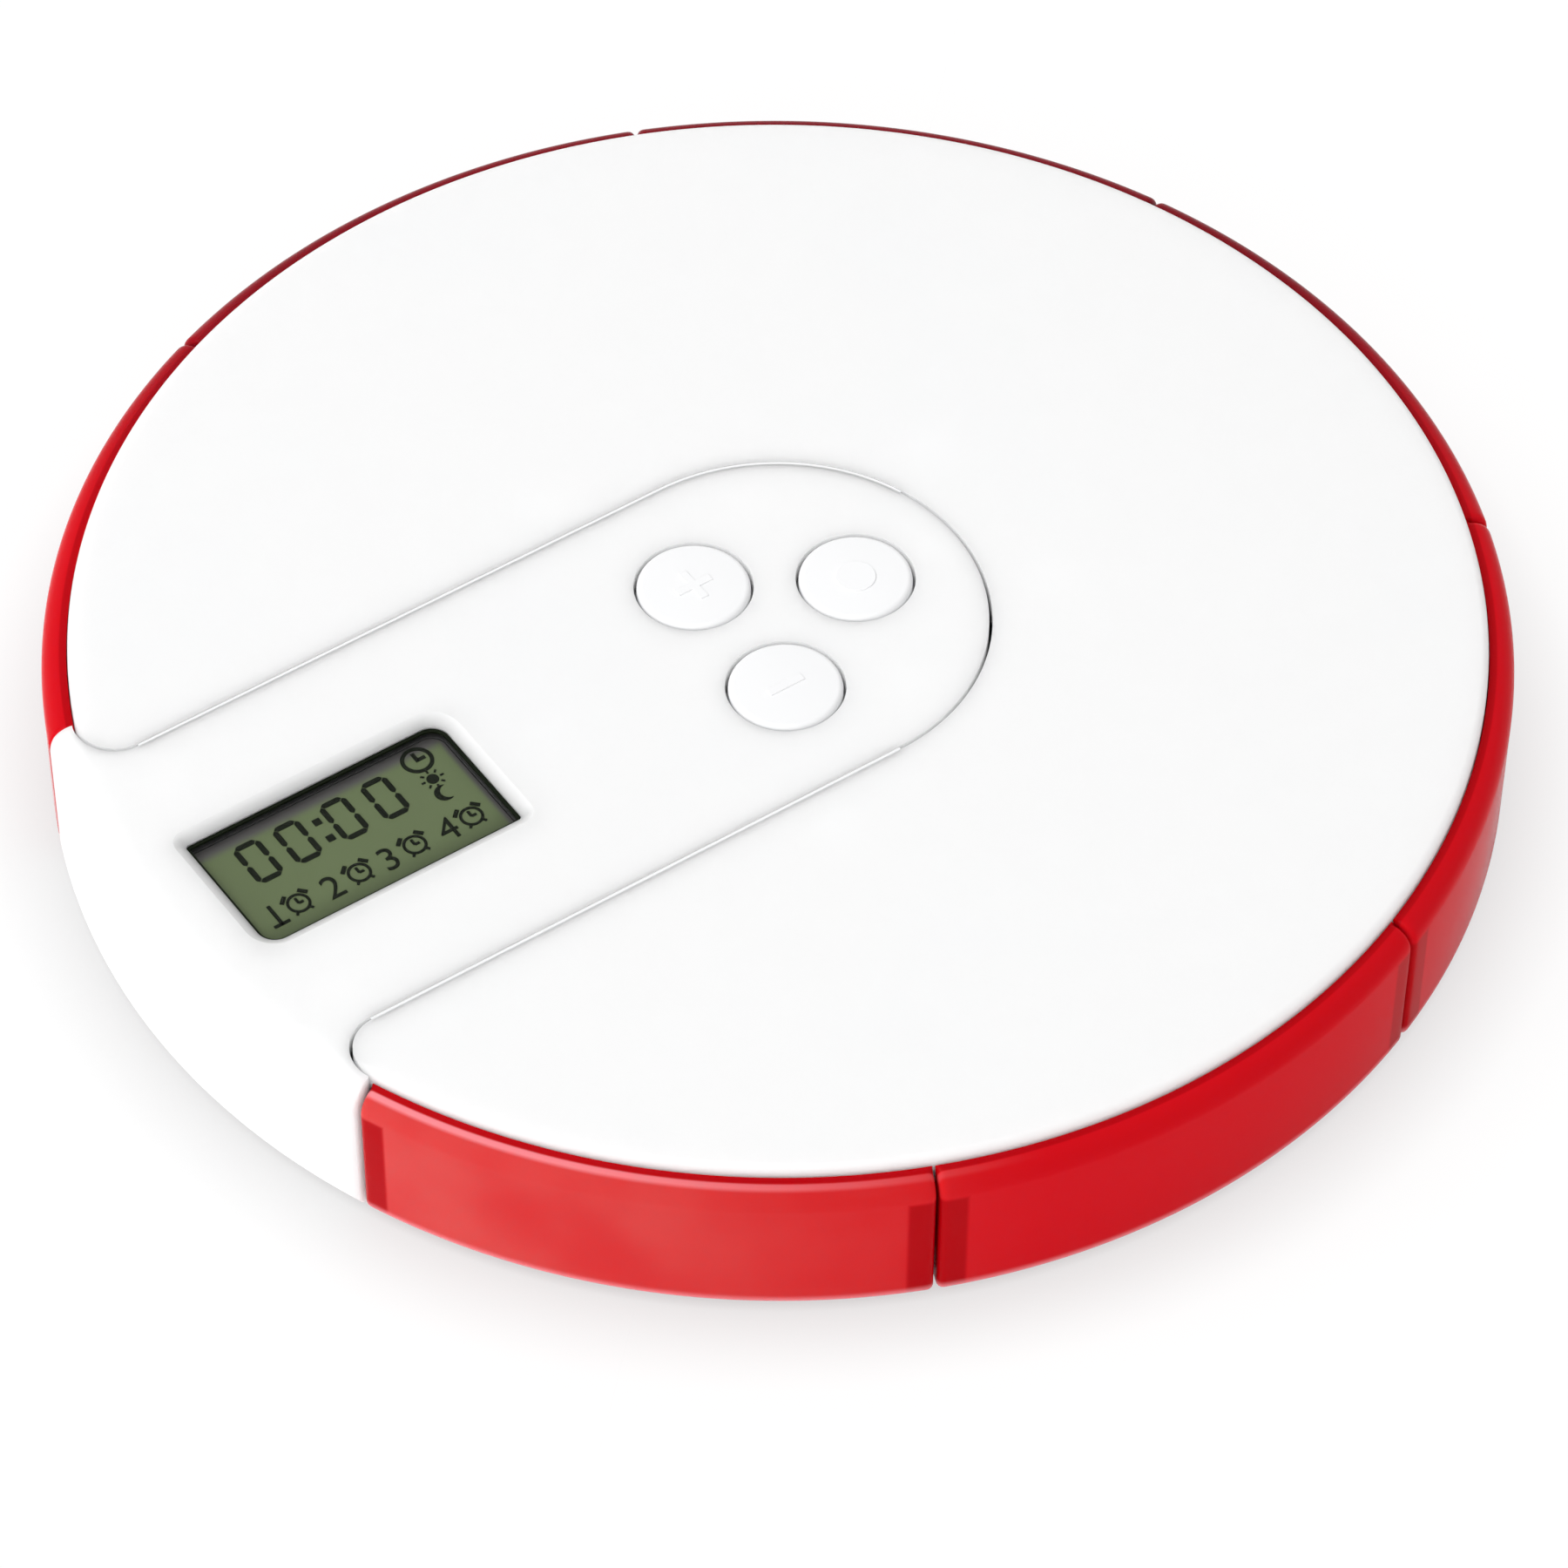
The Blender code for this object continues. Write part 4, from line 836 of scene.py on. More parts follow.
def calculate(tree, operation, first, second):
    """One step of arithmetic on sockets and plain numbers."""
    node = tree.nodes.new("ShaderNodeMath")
    node.operation = operation
    for socket, value in zip(node.inputs, (first, second)):
        if isinstance(value, float):
            socket.default_value = value
        else:
            tree.links.new(value, socket)
    return node.outputs["Value"]


def product(tree, first, *others):
    """Sockets and plain numbers multiplied."""
    for other in others:
        first = calculate(tree, "MULTIPLY", first, other)
    return first


def fade(tree, source, start, end, low=0.0, high=1.0):
    """A smooth change from one value to another between two places."""
    node = tree.nodes.new("ShaderNodeMapRange")
    node.interpolation_type = "SMOOTHSTEP"
    for name, value in (("From Min", start), ("From Max", end), ("To Min", low), ("To Max", high)):
        node.inputs[name].default_value = value
    tree.links.new(source, node.inputs["Value"])
    return node.outputs["Result"]


def blend(tree, factor, first, second):
    """A mix of two colours, each a socket or a plain colour."""
    node = tree.nodes.new("ShaderNodeMix")
    node.data_type = "RGBA"
    tree.links.new(factor, node.inputs["Factor"])
    for name, value in (("A", first), ("B", second)):
        if isinstance(value, tuple):
            node.inputs[name].default_value = (*value, 1.0)
        else:
            tree.links.new(value, node.inputs[name])
    return node.outputs["Result"]


def add_bump(tree, shader, ripples, height):
    """Fine bumps as high as given."""
    bump = tree.nodes.new("ShaderNodeBump")
    bump.inputs["Distance"].default_value = height
    tree.links.new(add_noise(tree, ripples), bump.inputs["Height"])
    tree.links.new(bump.outputs["Normal"], shader.inputs["Normal"])


def shade(value, factor):
    """A colour made darker or lighter."""
    return tuple(min(1.0, part * factor) for part in value)


def shades(value, factors):
    """A colour made darker or lighter by each of two factors."""
    return [shade(value, factor) for factor in factors]


def set_gloss(shader, value):
    """Sets a shader's share of mirror light."""
    shader.inputs["Specular IOR Level"].default_value = value


def let_light_in(shader, spread, depth):
    """Lets light spread under the surface, by as much as given in red, green and blue."""
    shader.inputs["Subsurface Weight"].default_value = 1.0
    shader.inputs["Subsurface Radius"].default_value = spread
    shader.inputs["Subsurface Scale"].default_value = depth


def white_plastic(colours, name):
    """Satin white moulded plastic, which light enters where it is thick."""
    material, tree, shader = new_material(name)
    is_thick = name == "white_plastic"
    value = colours.white if is_thick else shade(colours.white, THIN_TONE)
    mottle(tree, shader, "Base Color", WHITE_CLOUDS, shades(value, WHITE_TONES))
    mottle(tree, shader, "Roughness", WHITE_GRAIN, WHITE_ROUGHNESS)
    add_bump(tree, shader, WHITE_PORES, PORE_DEPTH)
    set_gloss(shader, WHITE_GLOSS)
    if is_thick:
        let_light_in(shader, WHITE_SPREAD, WHITE_DEPTH)
    return material


def red_plastic(colours, name):
    """Clear red plastic: deep where there is much of it, with painted light paler beside the panel, painted
    highlights on its top edge and foot, and painted shade on its top edges on the far side.
    """
    material, tree, shader = new_material(name)
    x, y, z = own_place(tree)
    squares = calculate(tree, "ADD", product(tree, x, x), product(tree, y, y))

    def by_radius(zone, low=0.0, high=1.0):
        """A change between two distances from the middle."""
        return fade(tree, squares, zone[0] ** 2, zone[1] ** 2, low, high)

    angle = calculate(tree, "ADD", calculate(tree, "ARCTAN2", y, x), HALF_SLICE)
    from_seam = calculate(tree, "PINGPONG", angle, HALF_SLICE)
    beside = fade(tree, from_seam, SIDE_ZONE[0] / CASE_RADIUS, SIDE_ZONE[1] / CASE_RADIUS)
    hollow = calculate(tree, "MAXIMUM", beside, fade(tree, z, *TRAY_ZONE))
    hollow = product(tree, hollow, by_radius(LIP_ZONE, LIP_CLEAR))
    # Painted light: the fronts beside the panel are paler, as if lit through from the left, with painted
    # streaks of light
    side = product(tree, fade(tree, x, *PAINTED_LIGHT_ZONE, 1.0, 0.0), fade(tree, y, *PAINTED_LIGHT_SIDE, 1.0, 0.0))
    streaks = fade(tree, add_noise(tree, RED_STREAKS), *STREAK_BAND, *STREAK_LIGHT)
    # Painted highlight: a pale band along the top edge beside the panel, and a pale fringe along the foot
    edge = product(tree, by_radius(HIGHLIGHT_START), by_radius(HIGHLIGHT_END, 1.0, 0.0),
                   fade(tree, z, *HIGHLIGHT_LOW, 0.0, HIGHLIGHT_STRENGTH), side)
    edge = calculate(tree, "MAXIMUM", edge, fade(tree, z, *FOOT_HIGHLIGHT_ZONE, FOOT_HIGHLIGHT, 0.0))
    # Painted shade: the top edges on the far side turn darker
    far_x, far_y = polar(1.0, FAR_SHADE_SIDE)
    away = calculate(tree, "ADD", product(tree, x, far_x), product(tree, y, far_y))
    far = product(tree, fade(tree, away, *FAR_SHADE_ZONE), fade(tree, z, *FAR_SHADE_TOP))
    clear = blend(tree, product(tree, side, streaks, hollow), tuple(colours.red), tuple(colours.pale_red))
    tone = blend(tree, hollow, tuple(colours.deep_red), clear)
    tone = blend(tree, far, tone, tuple(colours.far_red))
    tone = blend(tree, edge, tone, tuple(colours.edge_red))
    tree.links.new(tone, shader.inputs["Base Color"])
    mottle(tree, shader, "Roughness", RED_GRAIN, RED_ROUGHNESS)
    set_gloss(shader, RED_GLOSS)
    let_light_in(shader, RED_SPREAD, RED_DEPTH)
    return material


def clear_plastic(colours, name):
    """Clear pane of the display."""
    material, tree, shader = new_material(name)
    shader.inputs["Base Color"].default_value = (*colours.pane, 1.0)
    mottle(tree, shader, "Roughness", PANE_GRAIN, PANE_ROUGHNESS)
    shader.inputs["Alpha"].default_value = PANE_ALPHA
    return material


def display_ink(colours, name):
    """Dull black with a fine grain, for the display's signs and its gasket."""
    material, tree, shader = new_material(name)
    set_gloss(shader, INK_GLOSS)
    mottle(tree, shader, "Base Color", INK_GRAIN, shades(colours.ink, INK_TONES))
    mottle(tree, shader, "Roughness", INK_GRAIN, INK_ROUGHNESS)
    return material


def display_green(colours, name):
    """Grey-green display under its film, with painted shadows along two edges and painted shade along the
    near one.
    """
    material, tree, shader = new_material(name)
    x, y, _z = own_place(tree)
    green = blend(tree, add_noise(tree, GREEN_CLOUDS), *shades(colours.display, GREEN_TONES))
    # Painted shade: the display dims along its near edge
    near = fade(tree, y, *NEAR_SHADE_FADE, 1.0, 0.0)
    green = blend(tree, near, green, shade(colours.display, NEAR_SHADE_TONE))
    # Painted shadow: dark bands along the far and right edges
    edge = calculate(tree, "MAXIMUM", fade(tree, y, *FAR_SHADOW_FADE), fade(tree, x, *SIDE_SHADOW_FADE))
    tree.links.new(blend(tree, edge, green, tuple(colours.display_edge)), shader.inputs["Base Color"])
    shader.inputs["Roughness"].default_value = GREEN_ROUGHNESS
    set_gloss(shader, GREEN_GLOSS)
    return material


def board_green(colours, name):
    """Green board with paler tracks."""
    material, tree, shader = new_material(name)
    mottle(tree, shader, "Base Color", BOARD_TRACKS, shades(colours.board, BOARD_TONES), 0.0)
    shader.inputs["Roughness"].default_value = BOARD_ROUGHNESS
    return material


# Which function makes each material. Black plastic, rubber and steel are the frame's own plain materials
FINISHES = {
    "white_plastic": white_plastic,
    "thin_white_plastic": white_plastic,
    "red_plastic": red_plastic,
    "clear_plastic": clear_plastic,
    "display_ink": display_ink,
    "display_green": display_green,
    "board_green": board_green,
}

# Which of them each slot has. The other slots have the frame's material of the same name
SLOT_LOOKS = {
    "white_case": "white_plastic",
    "red_clear": "red_plastic",
    "clear_pane": "clear_plastic",
    "display_glass": "display_green",
}


class PILLBOX_OT_stage(bpy.types.Operator):
    """Add the floor, the light and the camera"""

    bl_idname = "pill_box.stage"
    bl_label = "Stage"

    def execute(self, context):
        colours, light = context.scene.pill_box_colours, context.scene.pill_box_light
        self.add_floor(colours, light)
        self.set_world(light)
        self.add_sun("key_light", light.key, light.key_size, light.key_azimuth, light.key_height)
        self.add_sun("fill_light", light.fill, light.fill_size, light.fill_azimuth, light.fill_height)
        self.add_camera()
        context.scene.view_settings.view_transform = "Standard"
        return {"FINISHED"}

    def add_floor(self, colours, light):
        """A wide floor, which the camera sees partly as plain white, so that shadows on it are light."""
        bpy.ops.mesh.primitive_plane_add(size=FLOOR_SIZE, location=(0.0, 0.0, -FLOOR_DROP))
        floor = settle(called("studio_floor"))
        material = bpy.data.materials.new("studio_floor")
        tree = empty_tree(material)
        seen = tree.nodes.new("ShaderNodeLightPath").outputs["Is Camera Ray"]
        lit = tree.nodes.new("ShaderNodeBsdfDiffuse")
        tree.links.new(blend(tree, seen, tuple(colours.floor), PLAIN_WHITE), lit.inputs["Color"])
        near = tree.nodes.new("ShaderNodeAmbientOcclusion")
        near.inputs["Distance"].default_value = light.floor_shade
        plain = tree.nodes.new("ShaderNodeEmission")
        # Painted shade: the glow the camera sees is darkened near the box by ambient occlusion
        tree.links.new(blend(tree, near.outputs["AO"], SHADE_TONE, PLAIN_WHITE), plain.inputs["Color"])
        glow = product(tree, seen, light.floor_glow)
        mix_shaders(tree, glow, lit.outputs["BSDF"], plain.outputs["Emission"], "ShaderNodeOutputMaterial")
        floor.data.materials.append(material)

    def set_world(self, light):
        """Even light, which camera, mirrors and clear plastic see as plain white."""
        world = bpy.data.worlds.new("studio")
        tree = empty_tree(world)
        path = tree.nodes.new("ShaderNodeLightPath")
        level = calculate(tree, "MAXIMUM", path.outputs["Is Camera Ray"], path.outputs["Is Glossy Ray"])
        level = calculate(tree, "MAXIMUM", level, path.outputs["Is Transmission Ray"])
        glows = []
        for strength in (light.sky, 1.0):
            glow = tree.nodes.new("ShaderNodeBackground")
            glow.inputs["Color"].default_value = (*PLAIN_WHITE, 1.0)
            glow.inputs["Strength"].default_value = strength
            glows.append(glow.outputs["Background"])
        mix_shaders(tree, level, *glows, "ShaderNodeOutputWorld")
        bpy.context.scene.world = world

    def add_sun(self, name, strength, size, azimuth, height):
        """One broad soft light."""
        away = Vector((*polar(math.cos(height), azimuth), math.sin(height)))
        bpy.ops.object.light_add(type="SUN", location=away)
        lamp = called(name)
        lamp.rotation_euler = away.to_track_quat("Z", "Y").to_euler()
        lamp.data.energy = strength
        lamp.data.angle = size

    def add_camera(self):
        """The camera, at the photograph's place and angle."""
        azimuth, elevation = CAMERA_AZIMUTH, CAMERA_ELEVATION
        back = Vector((*polar(math.cos(elevation), azimuth - QUARTER_TURN), math.sin(elevation)))
        level_right = Vector((*polar(1.0, azimuth), 0.0))
        level_up = back.cross(level_right)
        right = level_right * math.cos(CAMERA_ROLL) + level_up * math.sin(CAMERA_ROLL)
        up = level_up * math.cos(CAMERA_ROLL) - level_right * math.sin(CAMERA_ROLL)
        place = back * CAMERA_DISTANCE - right * CAMERA_ASIDE - up * CAMERA_RISE
        place.z += CAMERA_AIM
        bpy.ops.object.camera_add(location=place)
        camera = called("photo_camera")
        camera.rotation_euler = Matrix((right, up, back)).transposed().to_euler()
        camera.data.lens = CAMERA_LENS
        camera.data.sensor_width = CAMERA_SENSOR
        bpy.context.scene.camera = camera


class PILLBOX_OT_drawers(bpy.types.Operator):
    """Add the seven drawers of clear red plastic"""

    bl_idname = "pill_box.drawers"
    bl_label = "Drawers"

    def execute(self, context):
        pattern = self.model(context.scene.pill_box_sizes)
        for number in DRAWERS:
            name = f"drawer_{number}"
            drawer = copy_of(pattern)
            drawer.rotation_euler.z = SLICE * (number - MIDDLE_DRAWER)
            dress(settle(drawer), name + "_slice", name, "red_clear", [name])
        bpy.data.objects.remove(pattern)
        return {"FINISHED"}

    def model(self, sizes):
        """One drawer with its middle along +X: a tray with a curved front."""
        inner_radius = CASE_RADIUS - sizes.front_wall
        tray_top = CASE_TOP - sizes.lid_thickness - sizes.tray_headroom
        tray_low = BASE_LOW.z + FLOOR_THICKNESS + GAP
        room_start = DRAWER_LOW.x + TRAY_END
        outer = inner_radius + sizes.front_wall / 2.0
        outline = tray_outline(TRAY_SIDE_GAP, DRAWER_LOW.x, outer, sizes.tray_corner)
        tray = plate("tray", outline, tray_low, tray_top)
        room = tray_outline(TRAY_SIDE_GAP + sizes.tray_side, room_start, inner_radius - sizes.tray_lip,
                            sizes.tray_corner - sizes.tray_side)
        take(tray, plate("room", room, tray_low + sizes.tray_floor, tray_top + OVERRUN))
        half = GROOVE_WIDTH / 2.0
        groove = [(room_start, -half), (GROOVE_END, -half), (GROOVE_END, half), (room_start, half)]
        take(tray, plate("groove", groove, tray_low - OVERRUN, tray_low + GROOVE_DEPTH))
        join(tray, self.front(sizes, inner_radius))
        soften(tray, sizes.edge)
        return tray

    def front(self, sizes, inner_radius):
        """Curved front with all its outer edges rounded."""
        rim = rim_profile(sizes, DRAWER_HIGH.z, sizes.front_round)
        profile = [(inner_radius, DRAWER_LOW.z)] + rim + [(inner_radius, DRAWER_HIGH.z)]
        reach = HALF_SLICE - seam_angle(sizes)
        front = swept("front", profile, -reach, reach, SLICE_STEPS)
        inside = inner_radius + GAP

        def is_end(edge):
            """Whether an edge lies on an outer end of the front."""
            angles = [math.atan2(corner.co.y, corner.co.x) for corner in edge.verts]
            radii = [math.hypot(*corner.co.xy) for corner in edge.verts]
            return all(abs(abs(angle) - reach) < END_NEAR for angle in angles) and max(radii) > inside

        return round_edges(front, sizes.end_round, ROUND_STEPS // 2, is_end)


class PILLBOX_OT_lid(bpy.types.Operator):
    """Add the white lid with its rounded edge"""

    bl_idname = "pill_box.lid"
    bl_label = "Lid"

    def execute(self, context):
        sizes = context.scene.pill_box_sizes
        under = CASE_TOP - sizes.lid_thickness
        edge = round_top(LID_RADIUS, CASE_TOP, sizes.lid_round)
        lid = turned("lid", [(0.0, under), (LID_RADIUS, under)] + edge + [(0.0, CASE_TOP)], steps=RIM_STEPS)
        take(lid, plate("cutout", cutout_outline(sizes), under - OVERRUN, CASE_TOP + OVERRUN))
        for name in LID_SCREWS:
            add_boss(lid, place_of(name), under)
        soften(lid, sizes.edge)
        dress(lid, "lid_shell", "case", "white_case", ["lid"])
        return {"FINISHED"}


def place_of(name):
    """Middle of a solid from above."""
    low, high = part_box(name)
    return ((low.x + high.x) / 2.0, (low.y + high.y) / 2.0)


def add_boss(piece, place, under):
    """Boss with a pilot hole that hangs from the lid or the panel."""
    join(piece, disc("boss", place, BOSS_RADIUS, BOSS_LOW, under + EMBED, SMALL_STEPS))
    take(piece, disc("pilot", place, PILOT_RADIUS, BOSS_LOW - OVERRUN, PILOT_TOP, SMALL_STEPS))


class PILLBOX_OT_panel(bpy.types.Operator):
    """Add the white panel: tongue, slice, outer wall, window and button holes"""

    bl_idname = "pill_box.panel"
    bl_label = "Control panel"

    def execute(self, context):
        sizes = context.scene.pill_box_sizes
        under = CASE_TOP - sizes.lid_thickness
        below, above = under - OVERRUN, CASE_TOP + OVERRUN
        panel = plate("panel", panel_outline(sizes), PANEL_LOW.z - OVERRUN, above)
        rim = rim_profile(sizes, CASE_TOP, sizes.panel_round)
        profile = [(0.0, rim[0][1])] + rim + [(0.0, rim[-1][1])]
        keep_inside(panel, turned("rim", profile, steps=RIM_STEPS))
        inner = CASE_RADIUS - sizes.front_wall + GAP
        take(panel, disc("room", MIDDLE, inner, PANEL_LOW.z - OVERRUN, under, RIM_STEPS))
        slope = sizes.window_bevel / sizes.window_depth
        wide = window_outline(sizes, slope * (sizes.window_depth + OVERRUN))
        window = window_outline(sizes, 0.0)
        bevel_low = CASE_TOP - sizes.window_depth
        take(panel, stacked("window", [(window, below), (window, bevel_low), (wide, above)]))
        take(panel, plate("rebate", pane_outline(sizes, GAP), below, PANE_HIGH.z + GAP))
        for name in BUTTONS:
            radius = sizes.button_radius + sizes.button_gap
            take(panel, disc("hole", place_of(name + "_button"), radius, below, above))
        for panel_screw, board_screw in zip(PANEL_SCREWS, BOARD_SCREWS):
            add_boss(panel, place_of(panel_screw), under)
            place = place_of(board_screw)
            join(panel, disc("post", place, POST_RADIUS, POST_LOW, under + EMBED, SMALL_STEPS))
            take(panel, disc("pilot", place, POST_PILOT, POST_LOW - OVERRUN, POST_PILOT_TOP, SMALL_STEPS))
        soften(panel, sizes.edge)
        dress(panel, "control_panel_shell", "case", "white_case", ["control_panel"])
        dress(self.ledge(sizes), "panel_ledge", "case", "white_case", look="thin_white_plastic")
        return {"FINISHED"}

    def ledge(self, sizes):
        """Two thin ledges that make the groove beside the tongue shallow."""
        inner, outer = HALF_TONGUE - EMBED, HALF_TONGUE + sizes.groove - LEDGE_GAP
        end = corner_centre(sizes, 1)[0]
        low, high = CASE_TOP - LEDGE_DEPTH - LEDGE_THICKNESS, CASE_TOP - LEDGE_DEPTH
        far = arc(MIDDLE, outer, LEDGE_START, QUARTER_TURN, NOSE_STEPS) + [(end, outer), (end, inner)]
        far += arc(MIDDLE, inner, QUARTER_TURN, LEDGE_START, NOSE_STEPS)
        near = [(end, -outer), (0.0, -outer), (0.0, -inner), (end, -inner)]
        return gather([plate("far_ledge", far, low, high), plate("near_ledge", near, low, high)])


class PILLBOX_OT_buttons(bpy.types.Operator):
    """Add the three caps with their raised marks"""

    bl_idname = "pill_box.buttons"
    bl_label = "Buttons"

    def execute(self, context):
        sizes = context.scene.pill_box_sizes
        for name in BUTTONS:
            low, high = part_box(name + "_button")
            place = place_of(name + "_button")
            top = high.z - MARK_HEIGHT
            radius, flange = sizes.button_radius, high.x - place[0]
            ceiling, flange_top = low.z + CAP_HOLLOW_DEPTH, low.z + FLANGE_THICKNESS
            profile = [(0.0, low.z), (PIN_RADIUS, low.z), (PIN_RADIUS, ceiling), (CAP_HOLLOW, ceiling),
                       (CAP_HOLLOW, low.z), (flange, low.z), (flange, flange_top), (radius, flange_top)]
            profile += round_top(radius, top, sizes.button_round) + [(0.0, top)]
            cap = turned("cap", profile, place, HOLE_STEPS)
            mark = plate("mark", self.mark(sizes, name, place), top - EMBED, high.z)
            cap = gather([soften(piece, MARK_EDGE, FINE_STEPS) for piece in (cap, mark)])
            dress(cap, name + "_button_cap", name + "_button", "white_case", [name + "_button"],
                  look="thin_white_plastic")
        return {"FINISHED"}

    def mark(self, sizes, name, place):
        """Outline of a plus, a minus or a round spot."""
        reach = sizes.mark_length / 2.0
        if name == "set":
            return circle(place, reach)
        if name == "plus":
            return cross(place, reach, sizes.mark_width / 2.0)
        return strip((place[0] - reach, place[1]), (place[0] + reach, place[1]), sizes.mark_width)


def finer_copy(name, edge):
    """A copy of a solid with its flat faces merged and fine rounds on its edges."""
    bpy.ops.mesh.primitive_plane_add(size=POINT_SIZE)
    piece = bpy.context.object
    piece.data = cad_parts[name].data.copy()
    with editing(piece):
        bpy.ops.mesh.remove_doubles(threshold=WELD)
        bpy.ops.mesh.dissolve_limited(angle_limit=FLAT_ANGLE)
    return soften(piece, edge)


class PILLBOX_OT_display(bpy.types.Operator):
    """Add the pane, the dark bezel and the display's finish"""

    bl_idname = "pill_box.display"
    bl_label = "Display"

    def execute(self, context):
        sizes = context.scene.pill_box_sizes
        outline = pane_outline(sizes)
        pane = soften(plate("pane", outline, PANE_LOW.z, PANE_HIGH.z), PANE_EDGE, FINE_STEPS)
        dress(pane, "display_pane", "case", "clear_pane", ["display_window"])
        bezel = self.ring(sizes, outline, sizes.bezel_reveal, GLASS_HIGH.z + LAYER, PANE_LOW.z - LAYER)
        dress(bezel, "display_surround", "case", "black_plastic", ["display_bezel"])
        low, high = PANE_HIGH.z + LAYER, PANE_HIGH.z + GAP - LAYER
        gasket = self.ring(sizes, outline, sizes.gasket_reveal, low, high)
        dress(gasket, "window_gasket", "case", "black_plastic", look="display_ink")
        raised = plate("face", window_outline(sizes, -FACE_MARGIN), GLASS_HIGH.z - EMBED, FACE_TOP)
        glass = join(finer_copy("display_glass", PANE_EDGE), raised)
        dress(glass, "display_panel", "case", "display_glass", ["display_glass"])
        return {"FINISHED"}

    def ring(self, sizes, outline, reveal, low, high):
        """A flat frame that reaches a little way into the window."""
        ring = plate("ring", outline, low, high)
        take(ring, plate("hole", window_outline(sizes, -reveal), low - OVERRUN, high + OVERRUN))
        return soften(ring, PANE_EDGE, FINE_STEPS)


class PILLBOX_OT_reading(bpy.types.Operator):
    """Add the figures and signs that the display shows"""

    bl_idname = "pill_box.reading"
    bl_label = "Reading"

    def execute(self, context):
        strokes = []
        for x in DIGIT_PLACES:
            strokes += self.nought(x)
        half = COLON_SIZE / 2.0
        for y in COLON_ROWS:
            strokes.append(self.hand((COLON_COLUMN - half, y), (COLON_COLUMN + half, y), COLON_SIZE))
        strokes += self.clock(CLOCK_PLACE, CLOCK_RADIUS, CLOCK_STROKE, SHORT_HAND_SHARE, CLOCK_STROKE / 2.0)
        strokes += self.sun(SUN_PLACE)
        strokes.append(self.moon(MOON_PLACE))
        for number, (x, clock_x) in enumerate(zip(ALARM_PLACES, ALARM_CLOCK_PLACES), start=1):
            strokes.append(self.figure(str(number), x))
            strokes += self.alarm(Vector((clock_x, ALARM_ROW)))
        x, half = ALARM_PLACES[0], FIGURE_FOOT / 2.0
        strokes.append(self.hand((x - half, FOOT_ROW), (x + half, FOOT_ROW), FOOT_STROKE))
        piece = gather(strokes)
        only(piece)
        bpy.ops.object.shade_smooth_by_angle(angle=SMOOTH_ANGLE)
        dress(piece, "display_reading", "case", "black_plastic", look="display_ink")
        return {"FINISHED"}

    def bar(self, outline):
        """A stroke of ink."""
        return plate("stroke", outline, INK_LOW, INK_LOW + INK)

    def hand(self, start, end, width):
        """A straight stroke between two points."""
        return self.bar(strip(start, end, width))

    def segment(self, start, end):
        """A digit's stroke with pointed ends, level or upright."""
        half = DIGIT_STROKE / 2.0
        start, end = Vector(start), Vector(end)
        along = (end - start).normalized()
        side = Vector((-along.y, along.x))
        corners = [start, start + (along + side) * half, end - (along - side) * half, end,
                   end - (along + side) * half, start + (along - side) * half]
        return self.bar([tuple(corner) for corner in corners])

    def nought(self, x):
        """A nought from six strokes."""
        half = (DIGIT_WIDTH - DIGIT_STROKE) / 2.0
        low, high = DIGIT_LOW + DIGIT_STROKE / 2.0, DIGIT_HIGH - DIGIT_STROKE / 2.0
        middle = (low + high) / 2.0
        strokes = [self.segment((x - half + DIGIT_GAP, y), (x + half - DIGIT_GAP, y)) for y in (low, high)]
        for side in (x - half, x + half):
            for start, end in ((low, middle), (middle, high)):
                strokes.append(self.segment((side, start + DIGIT_GAP), (side, end - DIGIT_GAP)))
        return strokes

    def clock(self, place, radius, stroke, short_share, foot=0.0):
        """A clock face: a long hand up, which may start lower by a foot, and a short one to the right."""
        x, y = place
        inner, high = radius - stroke, INK_LOW + INK
        profile = [(radius, INK_LOW), (radius, high), (inner, high), (inner, INK_LOW), (radius, INK_LOW)]
        return [turned("ring", profile, (x, y)),
                self.hand((x, y - foot), (x, y + radius * LONG_HAND_SHARE), stroke),
                self.hand((x, y), (x + radius * short_share, y), stroke)]

    def alarm(self, place):
        """An alarm clock: face, hands, two bells and two legs."""
        radius = ALARM_RADIUS
        strokes = self.clock(place, radius, ALARM_STROKE, ALARM_HAND_SHARE)
        for angle in BELL_ANGLES:
            out = Vector(polar(radius, angle))
            bell = place + out * BELL_PLACE_SHARE
            half = Vector((-out.y, out.x)) * BELL_HALF_SHARE
            strokes.append(self.hand(bell - half, bell + half, BELL_STROKE))
        for angle in LEG_ANGLES:
            out = Vector(polar(radius, angle))
            strokes.append(self.hand(place + out, place + out * LEG_END_SHARE, ALARM_STROKE))
        return strokes

    def sun(self, place):
        """A small sun for the morning."""
        strokes = [self.bar(circle(place, SUN_RADIUS))]
        for i in range(SUN_RAYS):
            out = Vector(polar(SUN_RADIUS, FULL_TURN * i / SUN_RAYS))
            start = Vector(place) + out * RAY_START_SHARE
            end = start + out * RAY_LENGTH_SHARE
            strokes.append(self.hand(start, end, SUN_RADIUS * RAY_STROKE_SHARE))
        return strokes

    def moon(self, place):
        """A small moon for the evening."""
        bite_place, bite = polar(MOON_RADIUS, MOON_TIP)
        outer = arc(place, MOON_RADIUS, MOON_TIP, FULL_TURN - MOON_TIP, SMALL_STEPS)
        bite_centre = (place[0] + bite_place, place[1])
        inner = arc(bite_centre, bite, FULL_TURN - QUARTER_TURN, QUARTER_TURN, SMALL_STEPS)
        return self.bar(outer + inner[1:-1])

